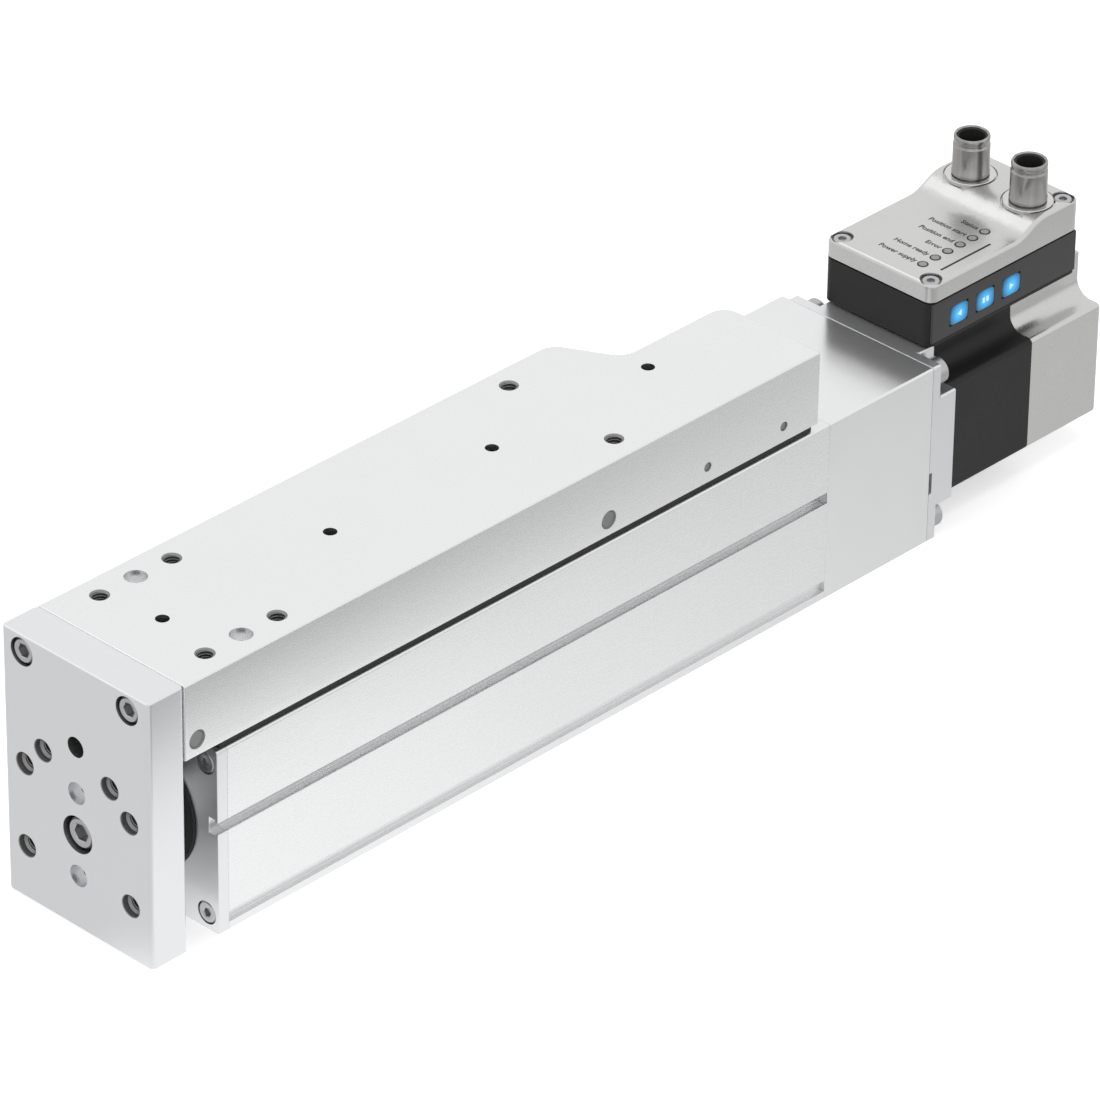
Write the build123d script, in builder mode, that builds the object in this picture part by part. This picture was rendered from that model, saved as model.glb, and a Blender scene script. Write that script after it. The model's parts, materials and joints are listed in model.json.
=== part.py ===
from build123d import *
import math
import os

os.makedirs("parts", exist_ok=True)

# Driving dimensions, in millimetres.
# X runs across the slide, Y along it towards the motor, Z up from the mounting face.

# Stroke and spindle
stroke = 200.0
end_reserve = 1.0
axis_above_middle = 1.5
spindle_radius = 6.0
spindle_chamfer = 1.0
journal_radius = 5.0
tail_radius = 4.0

# Housing
housing_front = -110.0
housing_left = 33.0
housing_right = 30.0
housing_height = 62.0
edge_radius = 0.8
cap_thickness = 4.0
rod_bore_radius = 19.0
coupling_housing_length = 46.8
sensor_slot_height = 36.1
sensor_slot_mouth = 3.8
sensor_slot_width = 5.4
sensor_slot_lip = 1.2
sensor_slot_depth = 3.6
foot_slot_height = 4.7
foot_slot_mouth = 3.7
foot_slot_depth = 1.8
cap_head_sink = 2.7
cap_thread_depth = 12.0
flange_thread_depth = 16.0
base_hole_spacing_x = 40.0
base_hole_spacing_y = 160.0
base_hole_depth = 9.0

# Slide and front plate
slide_width = 60.0
slide_height = 25.0
slide_clearance = 2.5
slide_narrow_left = 9.5
narrow_length = 54.0
step_angle = 62.0
step_radius = 7.5
rear_corner_radius = 6.0
plate_thickness = 14.0
plate_gap = 12.0
top_counterbore_depth = 5.5
rod_counterbore_depth = 7.0
rod_head_clearance = 1.0
plate_screw_reach = 12.0
plate_foot_clearance = 0.5
plate_chamfer = 1.0
pattern_spacing_x = 43.0
pattern_spacing_y = 28.0
centring_radius = 3.5
centring_depth = 3.0
payload_hole_depth = 11.0
centre_hole_depth = 9.0
upper_pair_spacing = 27.4
upper_pair_rise = 22.0
plate_screw_drop = 5.5
plate_window_rise = 29.5
plate_window_radius = 3.25
centre_hole_count = 4
centre_hole_start = 20.0
centre_hole_end = 43.0
first_pattern_start = 16.0
rear_pair_end = 80.0
side_plug_rise = 5.5
side_plug_start = 4.6
side_plug_end = 90.6
small_plug_ends = (48.4, 15.3)
large_plug_radius = 3.0
large_plug_length = 6.5
small_plug_radius = 1.5
small_plug_length = 4.6
plug_sink = 0.5
slide_edge = 0.5

# Linear guide
rail_width = 12.0
rail_height = 8.0
guide_height = 13.0
carriage_width = 27.0
carriage_height = 10.0
carriage_length = 40.0
carriage_inset = 2.0
carriage_hole_spacing = 20.0
seal_thickness = 2.5
rail_hole_pitch = 40.0
rail_hole_start = 10.0
rail_end_gap = 1.0
rail_play = 0.2
rail_groove_depth = 1.0
rail_groove_rise = 1.8
rail_groove_half = 1.4
rail_counterbore = 4.5
rail_thread_depth = 7.0
channel_width = 29.0
channel_depth = 9.0
carriage_floor = 3.5
carriage_thread_depth = 3.5
seal_inset = 0.3

# Rod, nut and buffers
rod_radius = 12.5
rod_hollow_radius = 7.0
rod_nose_length = 18.0
nut_length = 22.0
carrier_length = 30.0
guide_ring_width = 10.0
magnet_width = 4.0
bush_length = 10.0
wiper_radius = 21.0
wiper_stand = 0.8
front_buffer_thickness = 3.0
rear_buffer_thickness = 5.5

wiper_lip_gap = 1.2
wiper_face_width = 4.0
wiper_groove_depth = 1.0
buffer_clearance = 0.4
rear_buffer_clearance = 3.0
carrier_clearance = 0.4
guide_groove_start = 4.0
guide_groove_depth = 1.0
magnet_groove_start = 20.0
magnet_groove_depth = 2.5
screw_nose_gap = 2.0
rod_thread_depth = 15.0

# Bearings and coupling
bearing_bore_radius = 5.0
bearing_radius = 13.0
bearing_width = 8.0
bearing_count = 2
ring_relief = 0.1
retainer_width = 4.0
lock_nut_width = 5.0
slot_width = 2.8
slot_depth = 1.8
ring_gap = 0.4
bearing_shoulder = 3.5
bearing_start = 2.5
hub_clearance = 3.5
spider_gap = 0.1
spider_bore_radius = 3.2
coupling_room_radius = 16.0
hub_radius = 12.3
hub_length = 6.5
claw_length = 6.0
claw_root_radius = 6.5
claw_half_angle = 18.0
leg_gap_angle = 0.5

# Motor flange, motor and end cap
flange_thickness = 10.7
flange_ear_thickness = 3.4
flange_notch_height = 11.5
flange_notch_width = 9.5
flange_screw_side = 5.0
flange_screw_inset = 5.5
motor_half_width = 24.0
motor_shoulder_rise = 15.3
motor_neck_half_width = 14.5
motor_fillet = 5.5
motor_corner_radius = 1.6
stator_length = 42.5
end_cap_length = 32.5
end_cap_wall = 4.0
end_edge_radius = 1.2
motor_screw_spacing = 31.0
motor_shaft_radius = 2.5
shaft_overhang = 1.0
rotor_radius = 13.6
stator_bore_radius = 14.0
motor_bearing_radius = 8.0
motor_bearing_width = 5.0
pilot_radius = 11.0
pilot_height = 2.0
rotor_gap = 1.5
rotor_magnet_width = 2.0
rotor_magnet_step = 1.6
motor_thread_depth = 10.0
flange_head_sink = 3.4
end_head_sink = 3.4
end_screw_inset = 4.5
end_thread_depth = 9.0
encoder_magnet_radius = 4.0
encoder_magnet_width = 3.0
encoder_board_gap = 2.0
encoder_room_radius = 15.0
encoder_chip_radius = 2.0
encoder_chip_height = 1.0
board_thickness = 1.6
seam_slot_low = 17.0
seam_slot_high = 24.4
seam_slot_width = 1.2
seam_slot_depth = 3.0

# Electronics box
box_half_width = 22.0
box_overhang = 4.0
box_length = 68.5
box_underside_gap = 0.7
base_height = 14.9
box_wall = 2.0
box_floor = 2.2
gasket_thickness = 0.5
gasket_inset = 0.6
cover_skirt = 6.4
deck_rise = 4.5
ramp_end_inset = 15.5
ramp_length = 15.0
cover_corner_radius = 3.0
cover_edge_radius = 1.4
cover_roof = 2.2
cover_screw_inset = 3.8
post_setback = 0.2
cover_screw_pocket_radius = 3.5
cover_screw_sink = 2.4
cover_screw_reach = 8.0
cover_head_height = 1.9
cover_head_radius = 2.9
connector_half_spacing = 11.8
connector_inset = 13.0
connector_radius = 6.0
connector_inner_radius = 4.75
connector_reach = 14.0
connector_stem_depth = 7.0
connector_stem_radius = 5.5
lock_ring_radius = 8.0
lock_ring_height = 2.0
lock_ring_recess = 1.0
lock_ring_gap = 0.5
socket_depth = 9.0
pin_offset = 2.1
pin_root = 4.0
pin_length = 4.4
pin_radius = 0.5
led_x = 10.6
led_start = 8.6
led_end = 0.9
led_count = 6
led_stand = 0.1
led_radius = 1.3

# Side window and keys
window_thickness = 1.2
window_margin = 1.0
key_start = 13.2
key_pitch = 12.05
key_count = 3
key_corner = 1.4
key_length = 8.0
key_width = 6.5
key_stand = 0.2
key_clearance = 0.15
key_lip = 0.7
key_lip_thickness = 0.8
key_lip_gap = 0.3
key_travel = 0.4
switch_size = 6.0
switch_depth = 3.2
switch_stem_radius = 1.7
switch_stem_length = 0.8
key_board_thickness = 1.2
key_board_margin = 6.0

# Circuit board
board_rib_height = 3.0
board_rib_width = 3.0
board_rib_inset = 14.0
board_end_gap = 8.0
board_left_gap = 4.0
board_right_gap = 9.5
processor_size = 10.0
processor_height = 1.6
driver_size = 7.0
driver_height = 1.2
capacitor_radius = 3.2
capacitor_height = 5.4
capacitor_spacing = 8.0
cable_hole_length = 12.0
cable_hole_width = 16.0

# Fits
thread_reach = 0.9
overshoot = 1.0
running_gap = 0.05
thread_gap = 0.05
seat_gap = 0.05
screw_clearance = 0.2
head_clearance = 0.25

# Screw sizes: shank radius, head radius, head height and hexagon across flats
M3 = (1.5, 2.75, 3.0, 2.5)
M4 = (2.0, 3.5, 2.6, 2.5)
M5 = (2.5, 4.25, 5.0, 4.0)
M6 = (3.0, 5.0, 6.0, 5.0)
M5_core = 2.1
M6_core = 2.5

# Places that follow from the driving dimensions
flange_screw_x = housing_right - flange_screw_side
axis_height = housing_height / 2 + axis_above_middle
plate_back = housing_front - plate_gap
plate_front = plate_back - plate_thickness
slide_floor = housing_height + slide_clearance
slide_top = slide_floor + slide_height
profile_front = housing_front + cap_thickness
bush_rear = profile_front + bush_length
carrier_front = bush_rear + front_buffer_thickness + end_reserve + stroke
carrier_rear = carrier_front + carrier_length
rear_buffer_front = carrier_rear + end_reserve
profile_rear = rear_buffer_front + rear_buffer_thickness
flange_front = profile_rear + coupling_housing_length
stator_front = flange_front + flange_thickness
end_cap_front = stator_front + stator_length
motor_rear = end_cap_front + end_cap_length
slide_rear = carrier_rear + end_reserve
channel_roof = slide_floor + channel_depth
rail_underside = channel_roof - rail_height
carriage_base = channel_roof - guide_height
carriage_top = carriage_base + carriage_height
carriage_front = profile_front + carriage_inset
carriage_rear = carriage_front + carriage_length
bearing_front = profile_rear + bearing_start
bearing_rear = bearing_front + bearing_count * bearing_width
room_front = bearing_rear + retainer_width
hub_front = room_front + hub_clearance
hub_gap_front = hub_front + hub_length
hub_gap_rear = hub_gap_front + claw_length
hub_rear = hub_gap_rear + hub_length
screw_front = bush_rear + screw_nose_gap
motor_floor = axis_height - motor_half_width
motor_shoulder = axis_height + motor_shoulder_rise
neck_top = housing_height + box_underside_gap
box_front = stator_front - box_overhang
box_rear = box_front + box_length
base_floor = neck_top + box_floor
base_top = neck_top + base_height
cover_bottom = base_top + gasket_thickness
cover_low_top = cover_bottom + cover_skirt
cover_high_top = cover_low_top + deck_rise
cover_ramp_end = box_rear - ramp_end_inset
cover_ramp_start = cover_ramp_end - ramp_length
connector_y = box_rear - connector_inset
connector_top = cover_high_top + connector_reach
connector_root = cover_high_top - connector_stem_depth
insert_face = connector_top - socket_depth
led_first = box_front + led_start
led_pitch = (cover_ramp_start - led_end - led_first) / (led_count - 1)
key_height = (neck_top + base_top) / 2
plate_screw_height = slide_top - plate_screw_drop
plate_window_height = axis_height + plate_window_rise
encoder_front = end_cap_front + motor_bearing_width + shaft_overhang
lock_ring_bottom = cover_high_top - lock_ring_recess
lock_ring_top = cover_high_top + lock_ring_height - lock_ring_recess


def across(y):
    """A plane across the axis at y, with local x along X and local y along Z."""
    return Plane.XZ.offset(-y)


def turned(y0, y1, outer, inner=0.0, x=0.0, z=axis_height, mode=Mode.ADD):
    """A disc or ring from y0 to y1 about an axis along Y."""
    with BuildSketch(across(y0)) as face:
        with Locations((x, z)):
            Circle(outer)
            if inner > 0:
                Circle(inner, mode=Mode.SUBTRACT)
    extrude(face.sketch, amount=y0 - y1, mode=mode)


def upright(z0, z1, outer, inner=0.0, x=0.0, y=0.0, mode=Mode.ADD):
    """A disc or ring from z0 to z1 about an axis along Z."""
    with BuildSketch(Plane.XY.offset(z0)) as face:
        with Locations((x, y)):
            Circle(outer)
            if inner > 0:
                Circle(inner, mode=Mode.SUBTRACT)
    extrude(face.sketch, amount=z1 - z0, mode=mode)


def sideways(x0, x1, outer, y, z, mode=Mode.ADD):
    """A disc from x0 to x1 about an axis along X."""
    with BuildSketch(Plane.YZ.offset(x0)) as face:
        with Locations((y, z)):
            Circle(outer)
    extrude(face.sketch, amount=x1 - x0, mode=mode)


def block(x0, x1, y0, y1, z0, z1, mode=Mode.ADD):
    """A square-cornered block between the given limits."""
    with BuildSketch(Plane.XY.offset(z0)) as face:
        with Locations(((x0 + x1) / 2, (y0 + y1) / 2)):
            Rectangle(x1 - x0, y1 - y0)
    extrude(face.sketch, amount=z1 - z0, mode=mode)


def socket_screw(size, seat, length, x, z):
    """A socket head screw along +Y: the head's underside at seat, its hexagon facing -Y."""
    shank, head, height, flats = size
    turned(seat - height, seat, head, x=x, z=z)
    turned(seat, seat + length, shank, x=x, z=z)
    with BuildSketch(across(seat - height)) as hexagon:
        with Locations((x, z)):
            RegularPolygon(flats / 2, 6, major_radius=False)
    extrude(hexagon.sketch, amount=-height / 2, mode=Mode.SUBTRACT)


def rear_socket_screw(size, seat, length, x, z):
    """A socket head screw along -Y: the head's underside at seat, its hexagon facing +Y."""
    shank, head, height, flats = size
    turned(seat, seat + height, head, x=x, z=z)
    turned(seat - length, seat, shank, x=x, z=z)
    with BuildSketch(across(seat + height)) as hexagon:
        with Locations((x, z)):
            RegularPolygon(flats / 2, 6, major_radius=False)
    extrude(hexagon.sketch, amount=height / 2, mode=Mode.SUBTRACT)


def housing_section(y):
    """The outline shared by the profile, the front cap and the coupling housing, at y."""
    with BuildSketch(across(y)) as outline:
        with Locations(((housing_right - housing_left) / 2, housing_height / 2)):
            RectangleRounded(housing_right + housing_left, housing_height, edge_radius)
    return outline.sketch


def sensor_slot_section(y):
    """The undercut sensor slot in both sides of the housing, at y."""
    with BuildSketch(across(y)) as slots:
        for side, face in ((1, housing_right), (-1, -housing_left)):
            inner = side * (sensor_slot_depth + sensor_slot_lip) / 2
            with Locations((face - side * sensor_slot_depth / 2, sensor_slot_height)):
                Rectangle(sensor_slot_depth, sensor_slot_mouth)
            with Locations((face - inner, sensor_slot_height)):
                Rectangle(sensor_slot_depth - sensor_slot_lip, sensor_slot_width)
    return slots.sketch


def foot_slot_section(y):
    """The plain slot low in both sides of the housing, at y."""
    with BuildSketch(across(y)) as slots:
        for side, face in ((1, housing_right), (-1, -housing_left)):
            with Locations((face - side * foot_slot_depth / 2, foot_slot_height)):
                Rectangle(foot_slot_depth, foot_slot_mouth)
    return slots.sketch


def motor_section(y):
    """Square motor section at y, with shoulders that rise through a hollow curve to a neck."""
    half = motor_half_width
    neck = motor_neck_half_width
    with BuildSketch(across(y)) as section:
        with BuildLine():
            Polyline(
                (-half, motor_floor),
                (half, motor_floor),
                (half, motor_shoulder),
                (neck, motor_shoulder),
                (neck, neck_top),
                (-neck, neck_top),
                (-neck, motor_shoulder),
                (-half, motor_shoulder),
                close=True,
            )
        make_face()
        corners = section.vertices().group_by(Axis.Y)
        fillet(corners[0], motor_corner_radius)
        outer = section.vertices().filter_by(lambda v: abs(v.X) > neck + 1 and v.Y > axis_height)
        fillet(outer, motor_corner_radius)
        inner = section.vertices().filter_by(
            lambda v: abs(abs(v.X) - neck) < 0.01 and v.Y < neck_top - 1
        )
        fillet(inner, motor_fillet)
    return section.sketch


cap_screw_points = [
    (x, z)
    for x in (-flange_screw_x, flange_screw_x)
    for z in (flange_screw_inset, housing_height - flange_screw_inset)
]
flange_screw_points = [
    (x, z)
    for x in (-flange_screw_x, flange_screw_x)
    for z in (flange_screw_inset, housing_height - flange_screw_inset)
]
motor_screw_points = [
    (x, axis_height + z)
    for x in (-motor_screw_spacing / 2, motor_screw_spacing / 2)
    for z in (-motor_screw_spacing / 2, motor_screw_spacing / 2)
]
carriage_middle = (carriage_front + carriage_rear) / 2
carriage_screw_points = [
    (x, carriage_middle + y)
    for x in (-carriage_hole_spacing / 2, carriage_hole_spacing / 2)
    for y in (-carriage_hole_spacing / 2, carriage_hole_spacing / 2)
]
rail_front = plate_back + rail_end_gap
rail_rear = slide_rear - rail_end_gap
rail_hole_total = int((rail_rear - rail_front - 2 * rail_hole_start) // rail_hole_pitch) + 1
rail_hole_ys = [rail_front + rail_hole_start + i * rail_hole_pitch for i in range(rail_hole_total)]
cover_screw_points = [
    (x, y, top)
    for x in (-box_half_width + cover_screw_inset, box_half_width - cover_screw_inset)
    for y, top in (
        (box_front + cover_screw_inset, cover_low_top),
        (box_rear - cover_screw_inset, cover_high_top),
    )
]
key_ys = [box_front + key_start + i * key_pitch for i in range(key_count)]
connector_xs = (-connector_half_spacing, connector_half_spacing)
carriage_screw_seat = carriage_base - carriage_floor

# Housing profile: an extrusion with the rod bore and slots in both sides
with BuildPart() as housing_profile:
    extrude(housing_section(profile_front), amount=profile_front - profile_rear)
    for slots in (sensor_slot_section(profile_front), foot_slot_section(profile_front)):
        extrude(slots, amount=profile_front - profile_rear, mode=Mode.SUBTRACT)
    turned(profile_front, profile_rear, rod_bore_radius, mode=Mode.SUBTRACT)
    block(
        -carriage_width / 2 - seat_gap,
        carriage_width / 2 + seat_gap,
        carriage_front - seat_gap,
        carriage_rear + seat_gap,
        carriage_base,
        housing_height,
        mode=Mode.SUBTRACT,
    )
    for x, y in carriage_screw_points:
        upright(carriage_screw_seat, carriage_base, M3[0] + thread_gap, x=x, y=y, mode=Mode.SUBTRACT)
        upright(axis_height, carriage_screw_seat, M3[1] + seat_gap, x=x, y=y, mode=Mode.SUBTRACT)
    for x, z in cap_screw_points:
        turned(
            profile_front, profile_front + cap_thread_depth, M4[0] + thread_gap, x=x, z=z,
            mode=Mode.SUBTRACT,
        )
    for x, z in flange_screw_points:
        turned(
            profile_rear - flange_thread_depth, profile_rear, M5[0] + thread_gap, x=x, z=z,
            mode=Mode.SUBTRACT,
        )
    with BuildSketch(Plane.XY):
        with GridLocations(base_hole_spacing_x, base_hole_spacing_y, 2, 2):
            Circle(M6_core)
    extrude(amount=base_hole_depth, mode=Mode.SUBTRACT)
housing_profile.part.label = "housing_profile"
export_step(housing_profile.part, "parts/housing_profile.step")

# Front cap: closes the profile and holds the wiper around the rod
cap_screw_seat = housing_front + cap_head_sink
with BuildPart() as front_cap:
    extrude(housing_section(housing_front), amount=-cap_thickness)
    extrude(sensor_slot_section(housing_front), amount=-cap_thickness, mode=Mode.SUBTRACT)
    turned(housing_front, profile_front, wiper_radius, mode=Mode.SUBTRACT)
    for x, z in cap_screw_points:
        turned(housing_front, profile_front, M4[0] + thread_gap, x=x, z=z, mode=Mode.SUBTRACT)
        turned(
            housing_front, cap_screw_seat, M4[1] + head_clearance, x=x, z=z, mode=Mode.SUBTRACT
        )
front_cap.part.label = "front_cap"
export_step(front_cap.part, "parts/front_cap.step")

# Front cap screws, in their counterbores
with BuildPart() as front_cap_screws:
    for x, z in cap_screw_points:
        socket_screw(
            M4, cap_screw_seat, profile_front - cap_screw_seat + thread_reach * cap_thread_depth, x, z
        )
front_cap_screws.part.label = "front_cap_screws"
export_step(front_cap_screws.part, "parts/front_cap_screws.step")

# Wiper: rubber ring that cleans the rod, with a lip that leans forward
with BuildPart() as rod_wiper:
    with BuildSketch(Plane.YZ):
        with BuildLine():
            Polyline(
                (profile_front, axis_height + rod_radius + running_gap + wiper_lip_gap),
                (profile_front, axis_height + wiper_radius - seat_gap),
                (housing_front - wiper_stand, axis_height + wiper_radius - seat_gap),
                (housing_front - wiper_stand, axis_height + rod_radius + wiper_face_width),
                (housing_front + wiper_groove_depth, axis_height + rod_radius + wiper_face_width / 2),
                (housing_front - wiper_stand, axis_height + rod_radius + running_gap),
                (housing_front + 1.8 * wiper_groove_depth, axis_height + rod_radius + running_gap),
                close=True,
            )
        make_face()
    revolve(axis=Axis((0, 0, axis_height), (0, 1, 0)))
rod_wiper.part.label = "rod_wiper"
export_step(rod_wiper.part, "parts/rod_wiper.step")

# Bush that carries the rod at the front of the bore
with BuildPart() as rod_bush:
    turned(profile_front, bush_rear, rod_bore_radius - seat_gap, rod_radius + running_gap)
rod_bush.part.label = "rod_bush"
export_step(rod_bush.part, "parts/rod_bush.step")

# Rubber stops at both ends of the bore
buffer_radius = rod_bore_radius - buffer_clearance
with BuildPart() as end_buffers:
    turned(bush_rear, bush_rear + front_buffer_thickness, buffer_radius, rod_radius + buffer_clearance)
    turned(rear_buffer_front, profile_rear, buffer_radius, spindle_radius + rear_buffer_clearance)
end_buffers.part.label = "end_buffers"
export_step(end_buffers.part, "parts/end_buffers.step")

# Guide carriage: runs on the rail under the slide
groove_low = rail_underside + rail_groove_rise
groove_mid = groove_low + rail_groove_half
groove_high = groove_mid + rail_groove_half
with BuildPart() as guide_carriage:
    with BuildSketch(across(carriage_front + seal_thickness)):
        with Locations((0, (carriage_base + carriage_top) / 2)):
            Rectangle(carriage_width, carriage_height)
        with Locations((0, (rail_underside + carriage_top) / 2)):
            Rectangle(
                rail_width + 2 * rail_play,
                carriage_top - rail_underside + 2 * rail_play,
                mode=Mode.SUBTRACT,
            )
        for side in (-1, 1):
            with BuildLine():
                Polyline(
                    (side * (rail_width / 2 + rail_play), groove_low),
                    (side * (rail_width / 2 - rail_groove_depth + rail_play), groove_mid),
                    (side * (rail_width / 2 + rail_play), groove_high),
                    close=True,
                )
            make_face()
    extrude(amount=-(carriage_length - 2 * seal_thickness))
    for x, y in carriage_screw_points:
        upright(
            carriage_base, carriage_base + carriage_thread_depth, M3[0] + thread_gap, x=x, y=y,
            mode=Mode.SUBTRACT,
        )
guide_carriage.part.label = "guide_carriage"
export_step(guide_carriage.part, "parts/guide_carriage.step")

# End seals of the carriage
with BuildPart() as carriage_seals:
    for y in (carriage_front, carriage_rear - seal_thickness):
        with BuildSketch(across(y)):
            with Locations((0, (carriage_base + carriage_top) / 2)):
                Rectangle(carriage_width - 2 * seal_inset, carriage_height - 2 * seal_inset)
            with Locations((0, (rail_underside + carriage_top) / 2)):
                Rectangle(
                    rail_width + 2 * seal_inset,
                    carriage_top - rail_underside + 2 * seal_inset,
                    mode=Mode.SUBTRACT,
                )
        extrude(amount=-seal_thickness)
carriage_seals.part.label = "carriage_seals"
export_step(carriage_seals.part, "parts/carriage_seals.step")

# Screws that hold the carriage, put in from the rod bore
with BuildPart() as carriage_screws:
    for x, y in carriage_screw_points:
        upright(carriage_screw_seat - M3[2], carriage_screw_seat, M3[1], x=x, y=y)
        upright(carriage_screw_seat, carriage_base + carriage_thread_depth - seal_inset, M3[0], x=x, y=y)
carriage_screws.part.label = "carriage_screws"
export_step(carriage_screws.part, "parts/carriage_screws.step")

# Coupling housing: bearing seat at the front, room for the coupling behind it
with BuildPart() as coupling_housing:
    extrude(housing_section(profile_rear), amount=-coupling_housing_length)
    turned(profile_rear, bearing_front, bearing_radius - bearing_shoulder, mode=Mode.SUBTRACT)
    turned(bearing_front, room_front, bearing_radius, mode=Mode.SUBTRACT)
    turned(room_front, flange_front, coupling_room_radius, mode=Mode.SUBTRACT)
    for x, z in flange_screw_points:
        turned(profile_rear, flange_front, M5[0] + screw_clearance, x=x, z=z, mode=Mode.SUBTRACT)
coupling_housing.part.label = "coupling_housing"
export_step(coupling_housing.part, "parts/coupling_housing.step")

# Spindle bearings: outer rings in the coupling housing, inner rings on the journal
ring_middle = (bearing_bore_radius + bearing_radius) / 2
with BuildPart() as spindle_bearing_outers:
    for i in range(bearing_count):
        y = bearing_front + i * bearing_width
        turned(
            y, y + bearing_width - ring_relief, bearing_radius - seat_gap / 2,
            ring_middle + ring_gap / 2,
        )
spindle_bearing_outers.part.label = "spindle_bearing_outers"
export_step(spindle_bearing_outers.part, "parts/spindle_bearing_outers.step")

with BuildPart() as spindle_bearing_inners:
    for i in range(bearing_count):
        y = bearing_front + i * bearing_width
        turned(
            y, y + bearing_width - ring_relief, ring_middle - ring_gap / 2,
            bearing_bore_radius + seat_gap / 2,
        )
spindle_bearing_inners.part.label = "spindle_bearing_inners"
export_step(spindle_bearing_inners.part, "parts/spindle_bearing_inners.step")

# Threaded ring that holds the outer rings in their seat
with BuildPart() as bearing_retainer:
    turned(bearing_rear, room_front, bearing_radius - thread_gap, ring_middle + 2 * ring_gap)
    with BuildSketch(across(room_front)):
        with Locations((0, axis_height)):
            with PolarLocations(bearing_radius - slot_depth / 2, 4):
                Rectangle(slot_depth * 1.5, slot_width)
    extrude(amount=slot_depth, mode=Mode.SUBTRACT)
bearing_retainer.part.label = "bearing_retainer"
export_step(bearing_retainer.part, "parts/bearing_retainer.step")

# Ball screw spindle, with journals for the bearings and the coupling at the motor end
with BuildPart() as ball_screw:
    turned(screw_front, bearing_front, spindle_radius)
    chamfer(ball_screw.faces().sort_by(Axis.Y)[0].edges(), spindle_chamfer)
    turned(bearing_front, hub_front, journal_radius)
    turned(hub_front, hub_gap_front, tail_radius)
ball_screw.part.label = "ball_screw"
export_step(ball_screw.part, "parts/ball_screw.step")

# Lock nut that clamps the inner rings on the journal
nut_rear = bearing_rear + lock_nut_width
with BuildPart() as spindle_lock_nut:
    turned(bearing_rear, nut_rear, ring_middle - ring_gap / 2, journal_radius + thread_gap)
    with BuildSketch(across(nut_rear)):
        with Locations((0, axis_height)):
            with PolarLocations(ring_middle - slot_depth / 2, 4):
                Rectangle(slot_depth * 1.5, slot_width)
    extrude(amount=slot_depth, mode=Mode.SUBTRACT)
spindle_lock_nut.part.label = "spindle_lock_nut"
export_step(spindle_lock_nut.part, "parts/spindle_lock_nut.step")


def claw_faces(y, count, start, half_angle, inner, outer):
    """Evenly spaced ring sectors about the spindle axis, at y."""
    reach = 2 * outer
    lift = math.radians(half_angle)
    with BuildSketch(across(y)) as sectors:
        with Locations((0, axis_height)):
            with PolarLocations(0, count, start_angle=start):
                Polygon(
                    (0, 0),
                    (reach * math.cos(lift), -reach * math.sin(lift)),
                    (reach * math.cos(lift), reach * math.sin(lift)),
                    align=None,
                )
            Circle(outer, mode=Mode.INTERSECT)
            Circle(inner, mode=Mode.SUBTRACT)
    return sectors.sketch


# Coupling hubs with three claws each, and the elastic spider between them
with BuildPart() as spindle_hub:
    turned(hub_front, hub_gap_front, hub_radius, tail_radius + seat_gap)
    claws = claw_faces(hub_gap_front, 3, 0, claw_half_angle, claw_root_radius, hub_radius)
    extrude(claws, amount=-claw_length)
spindle_hub.part.label = "spindle_hub"
export_step(spindle_hub.part, "parts/spindle_hub.step")

with BuildPart() as motor_hub:
    turned(hub_gap_rear, hub_rear, hub_radius, motor_shaft_radius + seat_gap)
    claws = claw_faces(hub_gap_front, 3, 60, claw_half_angle, claw_root_radius, hub_radius)
    extrude(claws, amount=-claw_length)
motor_hub.part.label = "motor_hub"
export_step(motor_hub.part, "parts/motor_hub.step")

spider_front = hub_gap_front + spider_gap
spider_rear = hub_gap_rear - spider_gap
leg_half_angle = 360 / 12 - claw_half_angle - leg_gap_angle
with BuildPart() as coupling_spider:
    legs = claw_faces(spider_front, 6, 30, leg_half_angle, spider_bore_radius, hub_radius - 2 * spider_gap)
    extrude(legs, amount=spider_front - spider_rear)
    turned(spider_front, spider_rear, claw_root_radius - spider_gap, spider_bore_radius)
coupling_spider.part.label = "coupling_spider"
export_step(coupling_spider.part, "parts/coupling_spider.step")

# Motor flange: full outline in front, corners cut back behind for the screw heads
ear_rear = flange_front + flange_ear_thickness
motor_screw_seat = flange_front + flange_head_sink
with BuildPart() as motor_flange:
    with BuildSketch(across(flange_front)):
        with Locations((0, housing_height / 2)):
            RectangleRounded(2 * housing_right, housing_height, edge_radius)
    extrude(amount=-flange_ear_thickness)
    with BuildSketch(across(ear_rear)):
        with Locations((0, housing_height / 2)):
            RectangleRounded(2 * housing_right, housing_height - 2 * flange_notch_height, edge_radius)
            RectangleRounded(2 * (housing_right - flange_notch_width), housing_height, edge_radius)
    extrude(amount=ear_rear - stator_front)
    turned(flange_front, stator_front, pilot_radius, mode=Mode.SUBTRACT)
    for x, z in flange_screw_points:
        turned(flange_front, ear_rear, M5[0] + screw_clearance, x=x, z=z, mode=Mode.SUBTRACT)
    for x, z in motor_screw_points:
        turned(flange_front, motor_screw_seat, M3[1] + head_clearance, x=x, z=z, mode=Mode.SUBTRACT)
        turned(flange_front, stator_front, M3[0] + screw_clearance, x=x, z=z, mode=Mode.SUBTRACT)
    block(
        housing_right - seam_slot_depth,
        housing_right,
        flange_front,
        flange_front + seam_slot_width,
        seam_slot_low,
        seam_slot_high,
        mode=Mode.SUBTRACT,
    )
motor_flange.part.label = "motor_flange"
export_step(motor_flange.part, "parts/motor_flange.step")

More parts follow.
